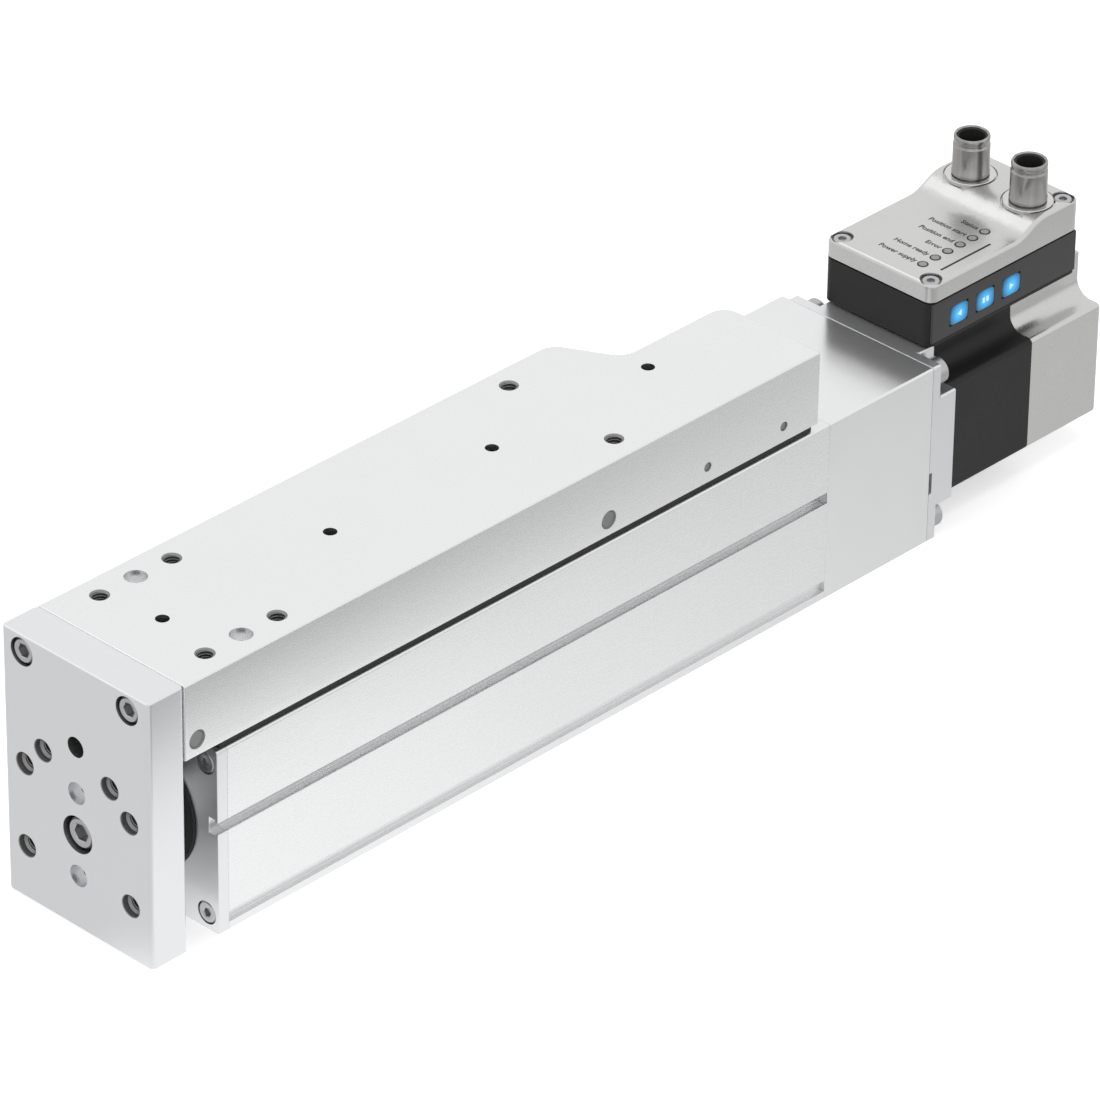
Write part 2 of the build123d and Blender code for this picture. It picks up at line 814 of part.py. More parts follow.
# Long screws through the flange and the coupling housing into the profile
with BuildPart() as flange_screws:
    for x, z in flange_screw_points:
        rear_socket_screw(M5, ear_rear, ear_rear - profile_rear + thread_reach * flange_thread_depth, x, z)
flange_screws.part.label = "flange_screws"
export_step(flange_screws.part, "parts/flange_screws.step")

# Motor screws, sunk in the front face of the flange
with BuildPart() as motor_screws:
    for x, z in motor_screw_points:
        turned(motor_screw_seat - M3[2], motor_screw_seat, M3[1], x=x, z=z)
        turned(motor_screw_seat, stator_front + thread_reach * motor_thread_depth, M3[0], x=x, z=z)
motor_screws.part.label = "motor_screws"
export_step(motor_screws.part, "parts/motor_screws.step")

# Motor body: front bearing seat, rotor bore and pilot rim
pilot_front = stator_front - pilot_height
end_screw_points = [
    (x, z)
    for x in (-motor_half_width + end_screw_inset, motor_half_width - end_screw_inset)
    for z in (motor_floor + end_screw_inset, motor_shoulder - end_screw_inset)
]
with BuildPart() as motor_body:
    extrude(motor_section(stator_front), amount=-stator_length)
    turned(pilot_front, stator_front, pilot_radius - seat_gap)
    turned(
        pilot_front, stator_front + motor_bearing_width, motor_bearing_radius, mode=Mode.SUBTRACT
    )
    turned(
        stator_front + motor_bearing_width, end_cap_front, stator_bore_radius, mode=Mode.SUBTRACT
    )
    for x, z in motor_screw_points:
        turned(
            stator_front, stator_front + motor_thread_depth, M3[0] + thread_gap, x=x, z=z,
            mode=Mode.SUBTRACT,
        )
    for x, z in end_screw_points:
        turned(
            end_cap_front - end_thread_depth, end_cap_front, M3[0] + thread_gap, x=x, z=z,
            mode=Mode.SUBTRACT,
        )
motor_body.part.label = "motor_body"
export_step(motor_body.part, "parts/motor_body.step")

# Rotor: two toothed stacks with a magnet disc between them
rotor_front = stator_front + motor_bearing_width + rotor_gap
rotor_rear = end_cap_front - rotor_gap
rotor_magnet_front = (rotor_front + rotor_rear - rotor_magnet_width) / 2
rotor_magnet_rear = rotor_magnet_front + rotor_magnet_width
rotor_bore_radius = motor_shaft_radius + seat_gap
with BuildPart() as rotor:
    turned(rotor_front, rotor_magnet_front, rotor_radius, rotor_bore_radius)
    turned(
        rotor_magnet_front, rotor_magnet_rear, rotor_radius - rotor_magnet_step, rotor_bore_radius
    )
    turned(rotor_magnet_rear, rotor_rear, rotor_radius, rotor_bore_radius)
rotor.part.label = "rotor"
export_step(rotor.part, "parts/rotor.step")

with BuildPart() as motor_shaft:
    turned(hub_gap_rear, encoder_front, motor_shaft_radius)
motor_shaft.part.label = "motor_shaft"
export_step(motor_shaft.part, "parts/motor_shaft.step")

# Motor bearings: outer rings in the body and the end cap, inner rings on the shaft
motor_ring_middle = (motor_bearing_radius + motor_shaft_radius) / 2
motor_bearing_ys = (stator_front, end_cap_front)
with BuildPart() as motor_bearing_outers:
    for y in motor_bearing_ys:
        turned(
            y,
            y + motor_bearing_width,
            motor_bearing_radius - seat_gap / 2,
            motor_ring_middle + ring_gap / 2,
        )
motor_bearing_outers.part.label = "motor_bearing_outers"
export_step(motor_bearing_outers.part, "parts/motor_bearing_outers.step")

with BuildPart() as motor_bearing_inners:
    for y in motor_bearing_ys:
        turned(
            y,
            y + motor_bearing_width,
            motor_ring_middle - ring_gap / 2,
            motor_shaft_radius + seat_gap / 2,
        )
motor_bearing_inners.part.label = "motor_bearing_inners"
export_step(motor_bearing_inners.part, "parts/motor_bearing_inners.step")

# End cap: cast cover over the encoder, with the same section as the motor body
cavity_front = end_cap_front + motor_bearing_width
cavity_rear = motor_rear - end_cap_wall
end_screw_seat = motor_rear - end_head_sink
with BuildPart() as end_cap:
    extrude(motor_section(end_cap_front), amount=-end_cap_length)
    rear_edges = end_cap.faces().sort_by(Axis.Y)[-1].edges()
    fillet(rear_edges, end_edge_radius)
    turned(cavity_front, cavity_rear, encoder_room_radius, mode=Mode.SUBTRACT)
    turned(end_cap_front, cavity_front, motor_bearing_radius, mode=Mode.SUBTRACT)
    for x, z in end_screw_points:
        turned(end_cap_front, motor_rear, M3[0] + screw_clearance, x=x, z=z, mode=Mode.SUBTRACT)
        turned(end_screw_seat, motor_rear, M3[1] + head_clearance, x=x, z=z, mode=Mode.SUBTRACT)
end_cap.part.label = "end_cap"
export_step(end_cap.part, "parts/end_cap.step")

with BuildPart() as end_cap_screws:
    for x, z in end_screw_points:
        rear_socket_screw(
            M3, end_screw_seat, end_screw_seat - end_cap_front + thread_reach * end_thread_depth, x, z
        )
end_cap_screws.part.label = "end_cap_screws"
export_step(end_cap_screws.part, "parts/end_cap_screws.step")

# Encoder: magnet on the shaft's end, and a sensor board behind it that fills the room
magnet_rear = encoder_front + encoder_magnet_width
board_front = magnet_rear + encoder_board_gap
with BuildPart() as encoder_magnet:
    turned(encoder_front, magnet_rear, encoder_magnet_radius)
encoder_magnet.part.label = "encoder_magnet"
export_step(encoder_magnet.part, "parts/encoder_magnet.step")

with BuildPart() as encoder_board:
    turned(board_front, board_front + board_thickness, encoder_room_radius - seat_gap)
    turned(board_front - encoder_chip_height, board_front, encoder_chip_radius)
encoder_board.part.label = "encoder_board"
export_step(encoder_board.part, "parts/encoder_board.step")

# Electronics base: a tray on the motor neck, with corner posts and a key window
window_front = box_front + window_margin
window_rear = box_rear - window_margin
window_low = neck_top + window_margin
window_high = base_top
post_radius = cover_screw_inset - post_setback
board_left = -box_half_width + board_left_gap
board_right = box_half_width - board_right_gap
main_board_z = base_floor + board_rib_height
with BuildPart() as electronics_base:
    with BuildSketch(Plane.XY.offset(neck_top)):
        with Locations((0, (box_front + box_rear) / 2)):
            RectangleRounded(2 * box_half_width, box_length, cover_corner_radius)
    extrude(amount=base_top - neck_top)
    with BuildSketch(Plane.XY.offset(base_floor)):
        with Locations((0, (box_front + box_rear) / 2)):
            Rectangle(2 * (box_half_width - box_wall), box_length - 2 * box_wall)
        for x, y, top in cover_screw_points:
            with Locations((x, y)):
                Circle(post_radius, mode=Mode.SUBTRACT)
    extrude(amount=base_top - base_floor, mode=Mode.SUBTRACT)
    for x, y, top in cover_screw_points:
        upright(base_floor, base_top, M3[0] + thread_gap, x=x, y=y, mode=Mode.SUBTRACT)
    for y in (box_front + board_rib_inset, box_rear - board_rib_inset):
        block(
            board_left,
            board_right - board_rib_width,
            y - board_rib_width / 2,
            y + board_rib_width / 2,
            base_floor,
            main_board_z,
        )
    block(
        box_half_width - window_thickness,
        box_half_width,
        window_front,
        window_rear,
        window_low,
        window_high,
        mode=Mode.SUBTRACT,
    )
    for y in key_ys:
        block(
            box_half_width - 1.5 * box_wall,
            box_half_width,
            y - key_length / 2 - key_clearance,
            y + key_length / 2 + key_clearance,
            key_height - key_width / 2 - key_clearance,
            key_height + key_width / 2 + key_clearance,
            mode=Mode.SUBTRACT,
        )
    block(
        -cable_hole_width / 2,
        cable_hole_width / 2,
        stator_front + cable_hole_length,
        stator_front + 2 * cable_hole_length,
        neck_top,
        base_floor,
        mode=Mode.SUBTRACT,
    )
electronics_base.part.label = "electronics_base"
export_step(electronics_base.part, "parts/electronics_base.step")

# Glossy window in the side of the base, with openings for the keys
with BuildPart() as side_window:
    with BuildSketch(Plane.YZ.offset(box_half_width - window_thickness)):
        with Locations(((window_front + window_rear) / 2, (window_low + window_high) / 2)):
            Rectangle(
                window_rear - window_front - 2 * seat_gap, window_high - window_low - 2 * seat_gap
            )
        for y in key_ys:
            with Locations((y, key_height)):
                Rectangle(
                    key_length + 2 * key_clearance, key_width + 2 * key_clearance, mode=Mode.SUBTRACT
                )
    extrude(amount=window_thickness)
side_window.part.label = "side_window"
export_step(side_window.part, "parts/side_window.step")

# Keys: rounded caps with a lip behind the wall that keeps them in
lip_front = box_half_width - box_wall - key_lip_gap
lip_rear = lip_front - key_lip_thickness
for number, y in enumerate(key_ys, start=1):
    with BuildPart() as key:
        with BuildSketch(Plane.YZ.offset(lip_front)):
            with Locations((y, key_height)):
                RectangleRounded(key_length, key_width, key_corner)
        extrude(amount=box_half_width + key_stand - lip_front)
        with BuildSketch(Plane.YZ.offset(lip_rear)):
            with Locations((y, key_height)):
                Rectangle(key_length + 2 * key_lip, key_width + 2 * key_lip)
        extrude(amount=key_lip_thickness)
    key.part.label = "key_" + str(number)
    export_step(key.part, "parts/key_" + str(number) + ".step")

# Key switches on their own upright board behind the keys
switch_front = lip_rear - key_travel - key_lip_gap
key_board_front = switch_front - switch_depth
switch_rear = switch_front - switch_stem_length
with BuildPart() as key_switches:
    for y in key_ys:
        block(
            key_board_front,
            switch_rear,
            y - switch_size / 2,
            y + switch_size / 2,
            key_height - switch_size / 2,
            key_height + switch_size / 2,
        )
        sideways(switch_rear, switch_front, switch_stem_radius, y, key_height)
key_switches.part.label = "key_switches"
export_step(key_switches.part, "parts/key_switches.step")

with BuildPart() as key_board:
    block(
        key_board_front - key_board_thickness,
        key_board_front,
        key_ys[0] - key_board_margin,
        key_ys[-1] + key_board_margin,
        base_floor + seat_gap,
        base_top - key_board_thickness / 2,
    )
key_board.part.label = "key_board"
export_step(key_board.part, "parts/key_board.step")

# Main circuit board on its ribs, with a few components
board_top = main_board_z + board_thickness
board_y = box_front + board_end_gap
board_end = box_rear - board_end_gap
board_middle = (board_y + board_end) / 2
with BuildPart() as circuit_board:
    block(board_left, board_right, board_y, board_end, main_board_z, board_top)
    block(
        -processor_size,
        0,
        board_middle - processor_size,
        board_middle,
        board_top,
        board_top + processor_height,
    )
    block(
        driver_size / 2,
        driver_size * 1.5,
        board_middle - driver_size,
        board_middle,
        board_top,
        board_top + driver_height,
    )
    for x in (-1.5 * capacitor_spacing, -0.5 * capacitor_spacing):
        upright(
            board_top, board_top + capacitor_height, capacitor_radius, x=x,
            y=board_middle + capacitor_spacing,
        )
circuit_board.part.label = "circuit_board"
export_step(circuit_board.part, "parts/circuit_board.step")

# Gasket between the base and the cover
with BuildPart() as cover_gasket:
    with BuildSketch(Plane.XY.offset(base_top)):
        with Locations((0, (box_front + box_rear) / 2)):
            RectangleRounded(
                2 * (box_half_width - gasket_inset), box_length - 2 * gasket_inset, cover_corner_radius
            )
            Rectangle(
                2 * (box_half_width - box_wall), box_length - 2 * box_wall, mode=Mode.SUBTRACT
            )
    extrude(amount=gasket_thickness)
cover_gasket.part.label = "cover_gasket"
export_step(cover_gasket.part, "parts/cover_gasket.step")

# Electronics cover: a casting whose roof rises in a smooth ramp to the connector deck
with BuildPart() as electronics_cover:
    with BuildSketch(Plane.YZ.offset(-box_half_width)):
        with BuildLine():
            Line((box_front, cover_bottom), (box_front, cover_low_top))
            Line((box_front, cover_low_top), (cover_ramp_start, cover_low_top))
            Spline(
                (cover_ramp_start, cover_low_top),
                (cover_ramp_end, cover_high_top),
                tangents=((1, 0), (1, 0)),
            )
            Line((cover_ramp_end, cover_high_top), (box_rear, cover_high_top))
            Line((box_rear, cover_high_top), (box_rear, cover_bottom))
            Line((box_rear, cover_bottom), (box_front, cover_bottom))
        make_face()
    extrude(amount=2 * box_half_width)
    upright_edges = electronics_cover.edges().filter_by(Axis.Z)
    fillet(upright_edges, cover_corner_radius)
    roof_edges = electronics_cover.edges().filter_by(lambda e: e.center().Z > cover_low_top - 0.01)
    rim = roof_edges.filter_by(
        lambda e: abs(e.center().X) > 1 or not box_front + 1 < e.center().Y < box_rear - 1
    )
    fillet(rim, cover_edge_radius)
    block(
        -box_half_width + box_wall,
        box_half_width - box_wall,
        box_front + box_wall,
        box_rear - box_wall,
        cover_bottom,
        cover_low_top - cover_roof,
        mode=Mode.SUBTRACT,
    )
    block(
        -box_half_width + box_wall,
        box_half_width - box_wall,
        cover_ramp_end - box_wall,
        box_rear - box_wall,
        cover_bottom,
        cover_high_top - cover_roof,
        mode=Mode.SUBTRACT,
    )
    for x, y, top in cover_screw_points:
        upright(cover_bottom, top - cover_roof / 2, post_radius, x=x, y=y)
        upright(cover_bottom, top, M3[0] + screw_clearance, x=x, y=y, mode=Mode.SUBTRACT)
        upright(
            top - cover_screw_sink, top + overshoot, cover_screw_pocket_radius, x=x, y=y,
            mode=Mode.SUBTRACT,
        )
    for x in connector_xs:
        upright(
            cover_bottom, cover_high_top, connector_stem_radius + thread_gap, x=x, y=connector_y,
            mode=Mode.SUBTRACT,
        )
        upright(
            lock_ring_bottom, cover_high_top, lock_ring_radius + lock_ring_gap, x=x, y=connector_y,
            mode=Mode.SUBTRACT,
        )
    for i in range(led_count):
        upright(
            cover_bottom, cover_low_top + overshoot, led_radius + seat_gap, x=led_x,
            y=led_first + i * led_pitch, mode=Mode.SUBTRACT,
        )
electronics_cover.part.label = "electronics_cover"
export_step(electronics_cover.part, "parts/electronics_cover.step")

# Cover screws with low heads
with BuildPart() as cover_screws:
    for x, y, top in cover_screw_points:
        seat = top - cover_screw_sink
        upright(seat, seat + cover_head_height, cover_head_radius, x=x, y=y)
        upright(base_top - cover_screw_reach, seat, M3[0], x=x, y=y)
cover_screws.part.label = "cover_screws"
export_step(cover_screws.part, "parts/cover_screws.step")

# Status lights: short clear rods through the roof
with BuildPart() as status_lights:
    for i in range(led_count):
        upright(
            cover_low_top - cover_roof, cover_low_top + led_stand, led_radius, x=led_x,
            y=led_first + i * led_pitch,
        )
status_lights.part.label = "status_lights"
export_step(status_lights.part, "parts/status_lights.step")

# Round plug connectors: threaded shells, with lock rings in shallow recesses of the deck
with BuildPart() as connector_shells:
    for x in connector_xs:
        upright(
            connector_root, lock_ring_top, connector_stem_radius, connector_inner_radius, x, connector_y
        )
        upright(lock_ring_top, connector_top, connector_radius, connector_inner_radius, x, connector_y)
connector_shells.part.label = "connector_shells"
export_step(connector_shells.part, "parts/connector_shells.step")

with BuildPart() as connector_lock_rings:
    for x in connector_xs:
        upright(
            lock_ring_bottom, lock_ring_top, lock_ring_radius, connector_stem_radius + thread_gap, x,
            connector_y,
        )
connector_lock_rings.part.label = "connector_lock_rings"
export_step(connector_lock_rings.part, "parts/connector_lock_rings.step")

# Inserts and their pins
pin_places = [(px, py) for px in (-pin_offset, pin_offset) for py in (-pin_offset, pin_offset)]
with BuildPart() as connector_inserts:
    for x in connector_xs:
        upright(connector_root, insert_face, connector_inner_radius - seat_gap, 0.0, x, connector_y)
        for px, py in pin_places:
            upright(
                insert_face - pin_root, insert_face, pin_radius + seat_gap, 0.0, x + px,
                connector_y + py, mode=Mode.SUBTRACT,
            )
connector_inserts.part.label = "connector_inserts"
export_step(connector_inserts.part, "parts/connector_inserts.step")

with BuildPart() as connector_pins:
    for x in connector_xs:
        for px, py in pin_places:
            upright(
                insert_face - pin_root, insert_face + pin_length, pin_radius, 0.0, x + px,
                connector_y + py,
            )
connector_pins.part.label = "connector_pins"
export_step(connector_pins.part, "parts/connector_pins.step")

# Slide: a thick table, stepped in on the left behind, with the guide channel below
half_slide = slide_width / 2
step_run = (half_slide - slide_narrow_left) / math.tan(math.radians(step_angle))
step_rear = slide_rear - narrow_length + step_run
pattern_points = [
    (x, plate_back + first_pattern_start + y)
    for x in (-pattern_spacing_x / 2, pattern_spacing_x / 2)
    for y in (0, pattern_spacing_y)
]
rear_pair_points = [
    (x, slide_rear - rear_pair_end) for x in (-pattern_spacing_x / 2, pattern_spacing_x / 2)
]
centring_points = [
    (x, plate_back + first_pattern_start + pattern_spacing_y / 2)
    for x in (-pattern_spacing_x / 2, pattern_spacing_x / 2)
]
centre_first = plate_back + centre_hole_start
centre_pitch = (slide_rear - centre_hole_end - centre_first) / (centre_hole_count - 1)
centre_points = [(0, centre_first + i * centre_pitch) for i in range(centre_hole_count)]
side_plug_height = slide_floor + side_plug_rise
large_plug_ys = (plate_back + side_plug_start, slide_rear - side_plug_end)
small_plug_ys = [slide_rear - end for end in small_plug_ends]
plug_face = half_slide - plug_sink
large_plug_root = plug_face - large_plug_length
small_plug_root = plug_face - small_plug_length
with BuildPart() as slide:
    with BuildSketch(Plane.XY.offset(slide_floor)) as plan:
        with BuildLine():
            Polyline(
                (-half_slide, plate_back),
                (half_slide, plate_back),
                (half_slide, slide_rear),
                (-slide_narrow_left, slide_rear),
                (-slide_narrow_left, step_rear),
                (-half_slide, step_rear - step_run),
                close=True,
            )
        make_face()
        step_corners = plan.vertices().sort_by(Axis.Y)[2:4]
        fillet(step_corners, step_radius)
        rear_left = plan.vertices().group_by(Axis.Y)[-1].sort_by(Axis.X)[0]
        fillet(rear_left, rear_corner_radius)
    extrude(amount=slide_height)
    top_edges = slide.faces().sort_by(Axis.Z)[-1].edges()
    chamfer(top_edges.filter_by(lambda e: e.center().Y > plate_back + slide_edge), slide_edge)
    block(
        -channel_width / 2,
        channel_width / 2,
        plate_back,
        slide_rear,
        slide_floor,
        channel_roof,
        mode=Mode.SUBTRACT,
    )
    for x, y in pattern_points + rear_pair_points:
        upright(slide_top - payload_hole_depth, slide_top, M6_core, x=x, y=y, mode=Mode.SUBTRACT)
    for x, y in centring_points:
        upright(slide_top - centring_depth, slide_top, centring_radius, x=x, y=y, mode=Mode.SUBTRACT)
    for x, y in centre_points:
        upright(slide_top - centre_hole_depth, slide_top, M5_core, x=x, y=y, mode=Mode.SUBTRACT)
    for y in rail_hole_ys:
        upright(
            channel_roof, channel_roof + rail_thread_depth, M3[0] + thread_gap, y=y,
            mode=Mode.SUBTRACT,
        )
    for x in (-pattern_spacing_x / 2, pattern_spacing_x / 2):
        turned(
            plate_back, plate_back + plate_screw_reach, M5[0] + thread_gap, x=x, z=plate_screw_height,
            mode=Mode.SUBTRACT,
        )
    for y in large_plug_ys:
        sideways(
            large_plug_root - plug_sink, half_slide, large_plug_radius + thread_gap, y,
            side_plug_height, mode=Mode.SUBTRACT,
        )
    for y in small_plug_ys:
        sideways(
            small_plug_root - plug_sink, half_slide, small_plug_radius + thread_gap, y,
            side_plug_height, mode=Mode.SUBTRACT,
        )
slide.part.label = "slide"
export_step(slide.part, "parts/slide.step")

# Threaded plugs in the right side of the slide
with BuildPart() as slide_plugs:
    for y in large_plug_ys:
        sideways(large_plug_root, plug_face, large_plug_radius, y, side_plug_height)
        sideways(
            (large_plug_root + plug_face) / 2, plug_face, large_plug_radius / 2, y,
            side_plug_height, mode=Mode.SUBTRACT,
        )
    for y in small_plug_ys:
        sideways(small_plug_root, plug_face, small_plug_radius, y, side_plug_height)
slide_plugs.part.label = "slide_plugs"
export_step(slide_plugs.part, "parts/slide_plugs.step")

# Guide rail under the slide, with ball grooves in both sides
rail_screw_seat = rail_underside + rail_counterbore
with BuildPart() as guide_rail:
    with BuildSketch(across(rail_front)):
        with Locations((0, (rail_underside + channel_roof) / 2)):
            Rectangle(rail_width, rail_height)
        for side in (-1, 1):
            with BuildLine():
                Polyline(
                    (side * rail_width / 2, groove_low - rail_play),
                    (side * (rail_width / 2 - rail_groove_depth), groove_mid),
                    (side * rail_width / 2, groove_high + rail_play),
                    close=True,
                )
            make_face(mode=Mode.SUBTRACT)
    extrude(amount=rail_front - rail_rear)
    for y in rail_hole_ys:
        upright(rail_underside, channel_roof, M3[0] + screw_clearance, y=y, mode=Mode.SUBTRACT)
        upright(rail_underside, rail_screw_seat, M3[1] + head_clearance, y=y, mode=Mode.SUBTRACT)
guide_rail.part.label = "guide_rail"
export_step(guide_rail.part, "parts/guide_rail.step")

with BuildPart() as rail_screws:
    for y in rail_hole_ys:
        upright(rail_screw_seat - M3[2], rail_screw_seat, M3[1], y=y)
        upright(rail_screw_seat, channel_roof + thread_reach * rail_thread_depth, M3[0], y=y)
rail_screws.part.label = "rail_screws"
export_step(rail_screws.part, "parts/rail_screws.step")

# Front plate: carries the load, joined to the slide above and to the rod in the middle
plate_centre = (slide_top + plate_foot_clearance) / 2
with BuildPart() as front_plate:
    with BuildSketch(across(plate_front)):
        with Locations((0, plate_centre)):
            Rectangle(slide_width, slide_top - plate_foot_clearance)
    extrude(amount=-plate_thickness)
    chamfer(front_plate.edges().filter_by(Axis.Z), plate_chamfer)
    with Locations(across(plate_front)):
        with Locations((0, plate_screw_height)):
            with GridLocations(pattern_spacing_x, 1, 2, 1):
                CounterBoreHole(M5[0] + screw_clearance, M5[1] + head_clearance, top_counterbore_depth)
        with Locations((0, axis_height)):
            CounterBoreHole(
                M6[0] + screw_clearance, M6[1] + rod_head_clearance, rod_counterbore_depth
            )
        with Locations((0, plate_window_height)):
            Hole(plate_window_radius)
        with Locations((0, axis_height)):
            with GridLocations(pattern_spacing_x, pattern_spacing_y, 2, 2):
                Hole(M6_core, payload_hole_depth)
        with Locations((0, axis_height + upper_pair_rise)):
            with GridLocations(upper_pair_spacing, 1, 2, 1):
                Hole(M6_core, payload_hole_depth)
        with Locations((0, axis_height)):
            with GridLocations(1, pattern_spacing_y, 1, 2):
                Hole(centring_radius, centring_depth)
front_plate.part.label = "front_plate"
export_step(front_plate.part, "parts/front_plate.step")

# Screws that join the plate to the slide
plate_screw_seat = plate_front + top_counterbore_depth
with BuildPart() as plate_screws:
    for x in (-pattern_spacing_x / 2, pattern_spacing_x / 2):
        socket_screw(
            M5, plate_screw_seat, plate_back - plate_screw_seat + thread_reach * plate_screw_reach, x,
            plate_screw_height,
        )
plate_screws.part.label = "plate_screws"
export_step(plate_screws.part, "parts/plate_screws.step")

# Screw that joins the plate to the piston rod
rod_screw_seat = plate_front + rod_counterbore_depth
with BuildPart() as rod_screw:
    rod_screw_length = plate_back - rod_screw_seat + thread_reach * rod_thread_depth
    socket_screw(M6, rod_screw_seat, rod_screw_length, 0, axis_height)
rod_screw.part.label = "rod_screw"
export_step(rod_screw.part, "parts/rod_screw.step")

# Piston rod: a tube around the spindle with a solid threaded nose
rod_rear = carrier_rear - nut_length
with BuildPart() as piston_rod:
    turned(plate_back, rod_rear, rod_radius)
    turned(plate_back, plate_back + rod_thread_depth, M6[0] + thread_gap, mode=Mode.SUBTRACT)
    turned(plate_back + rod_nose_length, rod_rear, rod_hollow_radius, mode=Mode.SUBTRACT)
piston_rod.part.label = "piston_rod"
export_step(piston_rod.part, "parts/piston_rod.step")

# Ball nut behind the rod
with BuildPart() as ball_nut:
    turned(rod_rear, carrier_rear, rod_radius, spindle_radius + running_gap)
ball_nut.part.label = "ball_nut"
export_step(ball_nut.part, "parts/ball_nut.step")

# Carrier that joins rod and nut and slides in the bore
carrier_radius = rod_bore_radius - carrier_clearance
guide_groove_front = carrier_front + guide_groove_start
magnet_groove_front = carrier_front + magnet_groove_start
with BuildPart() as nut_carrier:
    turned(carrier_front, carrier_rear, carrier_radius, rod_radius + seat_gap)
    turned(
        guide_groove_front, guide_groove_front + guide_ring_width, rod_bore_radius,
        carrier_radius - guide_groove_depth, mode=Mode.SUBTRACT,
    )
    turned(
        magnet_groove_front, magnet_groove_front + magnet_width, rod_bore_radius,
        carrier_radius - magnet_groove_depth, mode=Mode.SUBTRACT,
    )
nut_carrier.part.label = "nut_carrier"
export_step(nut_carrier.part, "parts/nut_carrier.step")

with BuildPart() as guide_ring:
    turned(
        guide_groove_front, guide_groove_front + guide_ring_width, rod_bore_radius - running_gap,
        carrier_radius - guide_groove_depth + seat_gap,
    )
guide_ring.part.label = "guide_ring"
export_step(guide_ring.part, "parts/guide_ring.step")

with BuildPart() as sensor_magnet:
    turned(
        magnet_groove_front, magnet_groove_front + magnet_width, carrier_radius - 2 * seat_gap,
        carrier_radius - magnet_groove_depth + seat_gap,
    )
sensor_magnet.part.label = "sensor_magnet"
export_step(sensor_magnet.part, "parts/sensor_magnet.step")
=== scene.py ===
"""Electric mini slide: finishes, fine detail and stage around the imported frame."""

import json
import math
from collections import namedtuple

import bmesh
import bpy
from bpy.props import FloatProperty, FloatVectorProperty, IntProperty, PointerProperty
from bpy.types import Operator, Panel, PropertyGroup
from mathutils import Euler, Matrix, Vector


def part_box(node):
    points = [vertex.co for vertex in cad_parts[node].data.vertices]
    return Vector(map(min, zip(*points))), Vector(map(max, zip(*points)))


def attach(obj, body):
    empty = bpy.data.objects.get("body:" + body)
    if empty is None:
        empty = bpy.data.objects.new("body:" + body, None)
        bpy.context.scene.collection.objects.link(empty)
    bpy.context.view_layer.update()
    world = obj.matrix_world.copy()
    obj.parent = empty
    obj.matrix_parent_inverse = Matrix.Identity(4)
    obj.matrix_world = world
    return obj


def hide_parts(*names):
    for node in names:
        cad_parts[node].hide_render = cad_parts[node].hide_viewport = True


bl_info = {
    "name": "Electric Mini Slide",
    "version": (1, 0, 0),
    "blender": (4, 5, 0),
    "location": "3D View > Sidebar > Mini Slide",
    "description": "Dresses the frame of an electric mini slide and sets its stage",
    "category": "Object",
}

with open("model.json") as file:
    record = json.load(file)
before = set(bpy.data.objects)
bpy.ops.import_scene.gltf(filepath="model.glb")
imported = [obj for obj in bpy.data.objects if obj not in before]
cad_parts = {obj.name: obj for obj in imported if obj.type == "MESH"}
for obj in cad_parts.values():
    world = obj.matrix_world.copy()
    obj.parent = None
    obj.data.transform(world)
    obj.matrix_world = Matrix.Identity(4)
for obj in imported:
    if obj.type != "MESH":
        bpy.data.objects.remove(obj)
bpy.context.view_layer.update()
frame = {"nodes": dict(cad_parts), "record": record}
NODES = frame["nodes"]
RECORD = frame["record"]
SLOT_OF = {entry["node"]: entry["material_slot"] for entry in RECORD["subparts"]}
BODY_OF = {n: b for b, names in RECORD["behaviour"]["bodies"].items() for n in names}
MM = 0.001

# Vertices of a CAD mesh that are this close are one, in metres
SAME_PLACE = 2e-6

# Turns that take a tool or a screw from +Z to the face that it stands on
UP = (0.0, 0.0, 0.0)
FRONT = (math.pi / 2, 0.0, 0.0)
REAR = (-math.pi / 2, 0.0, 0.0)

# Payload holes, in millimetres: radii and depths of the solids' bores
THREAD_CORE = 2.5
THREAD_DEPTH = 11.0
SMALL_CORE = 2.1
SMALL_DEPTH = 9.0
CENTRING = 3.5
CENTRING_DEPTH = 3.0
PILOT = 1.4
PILOT_DEPTH = 6.0
WINDOW_RADIUS = 3.27
WINDOW_DEPTH = 14.2
SLEEVE_FLOOR = 2.6
SLEEVE_MOUTH = [(3.3, -1.9), (3.5, -0.2), (3.8, 0.1)]
WINDING_RADIUS = 2.58
RIDGE_RADIUS = 0.32

# Seats round the heads of the plate's screws, in millimetres
PLATE_SEAT = 4.5
ROD_SEAT = 6.0

# A cutter goes this much past the bore that it darkens with painted shade, so that no faces
# coincide
THREAD_WIDER = 0.03
WIDER = 0.02
DEEPER = 0.02
PROUD = 0.1

# Black strips in the gap under the table, painted shade of the gap, in millimetres
GAP_STRIP_INSET = 1.0
GAP_STRIP_THICKNESS = 2.2
GAP_STRIP_CLEARANCE = 0.2
GAP_STRIP_END = 2.0

# Screws, in millimetres, and the face that their heads stand on
Screw = namedtuple("Screw", "piece node face radius height flats shank length")
SCREWS = (
    Screw("table_screws", "plate_screws", "front", 3.95, 5.0, 4.0, 2.45, 18.0),
    Screw("piston_screw", "rod_screw", "front", 5.0, 6.0, 5.0, 2.95, 20.0),
    Screw("cap_screws", "front_cap_screws", "front", 3.5, 2.6, 2.5, 1.95, 12.0),
    Screw("long_screws", "flange_screws", "rear", 4.25, 5.0, 4.0, 2.45, 60.0),
    Screw("encoder_screws", "end_cap_screws", "rear", 2.75, 3.0, 2.5, 1.45, 30.0),
    Screw("lid_screws", "cover_screws", "top", 2.9, 1.9, 2.5, 1.45, 9.0),
)
KNURL_SHARE = 0.022

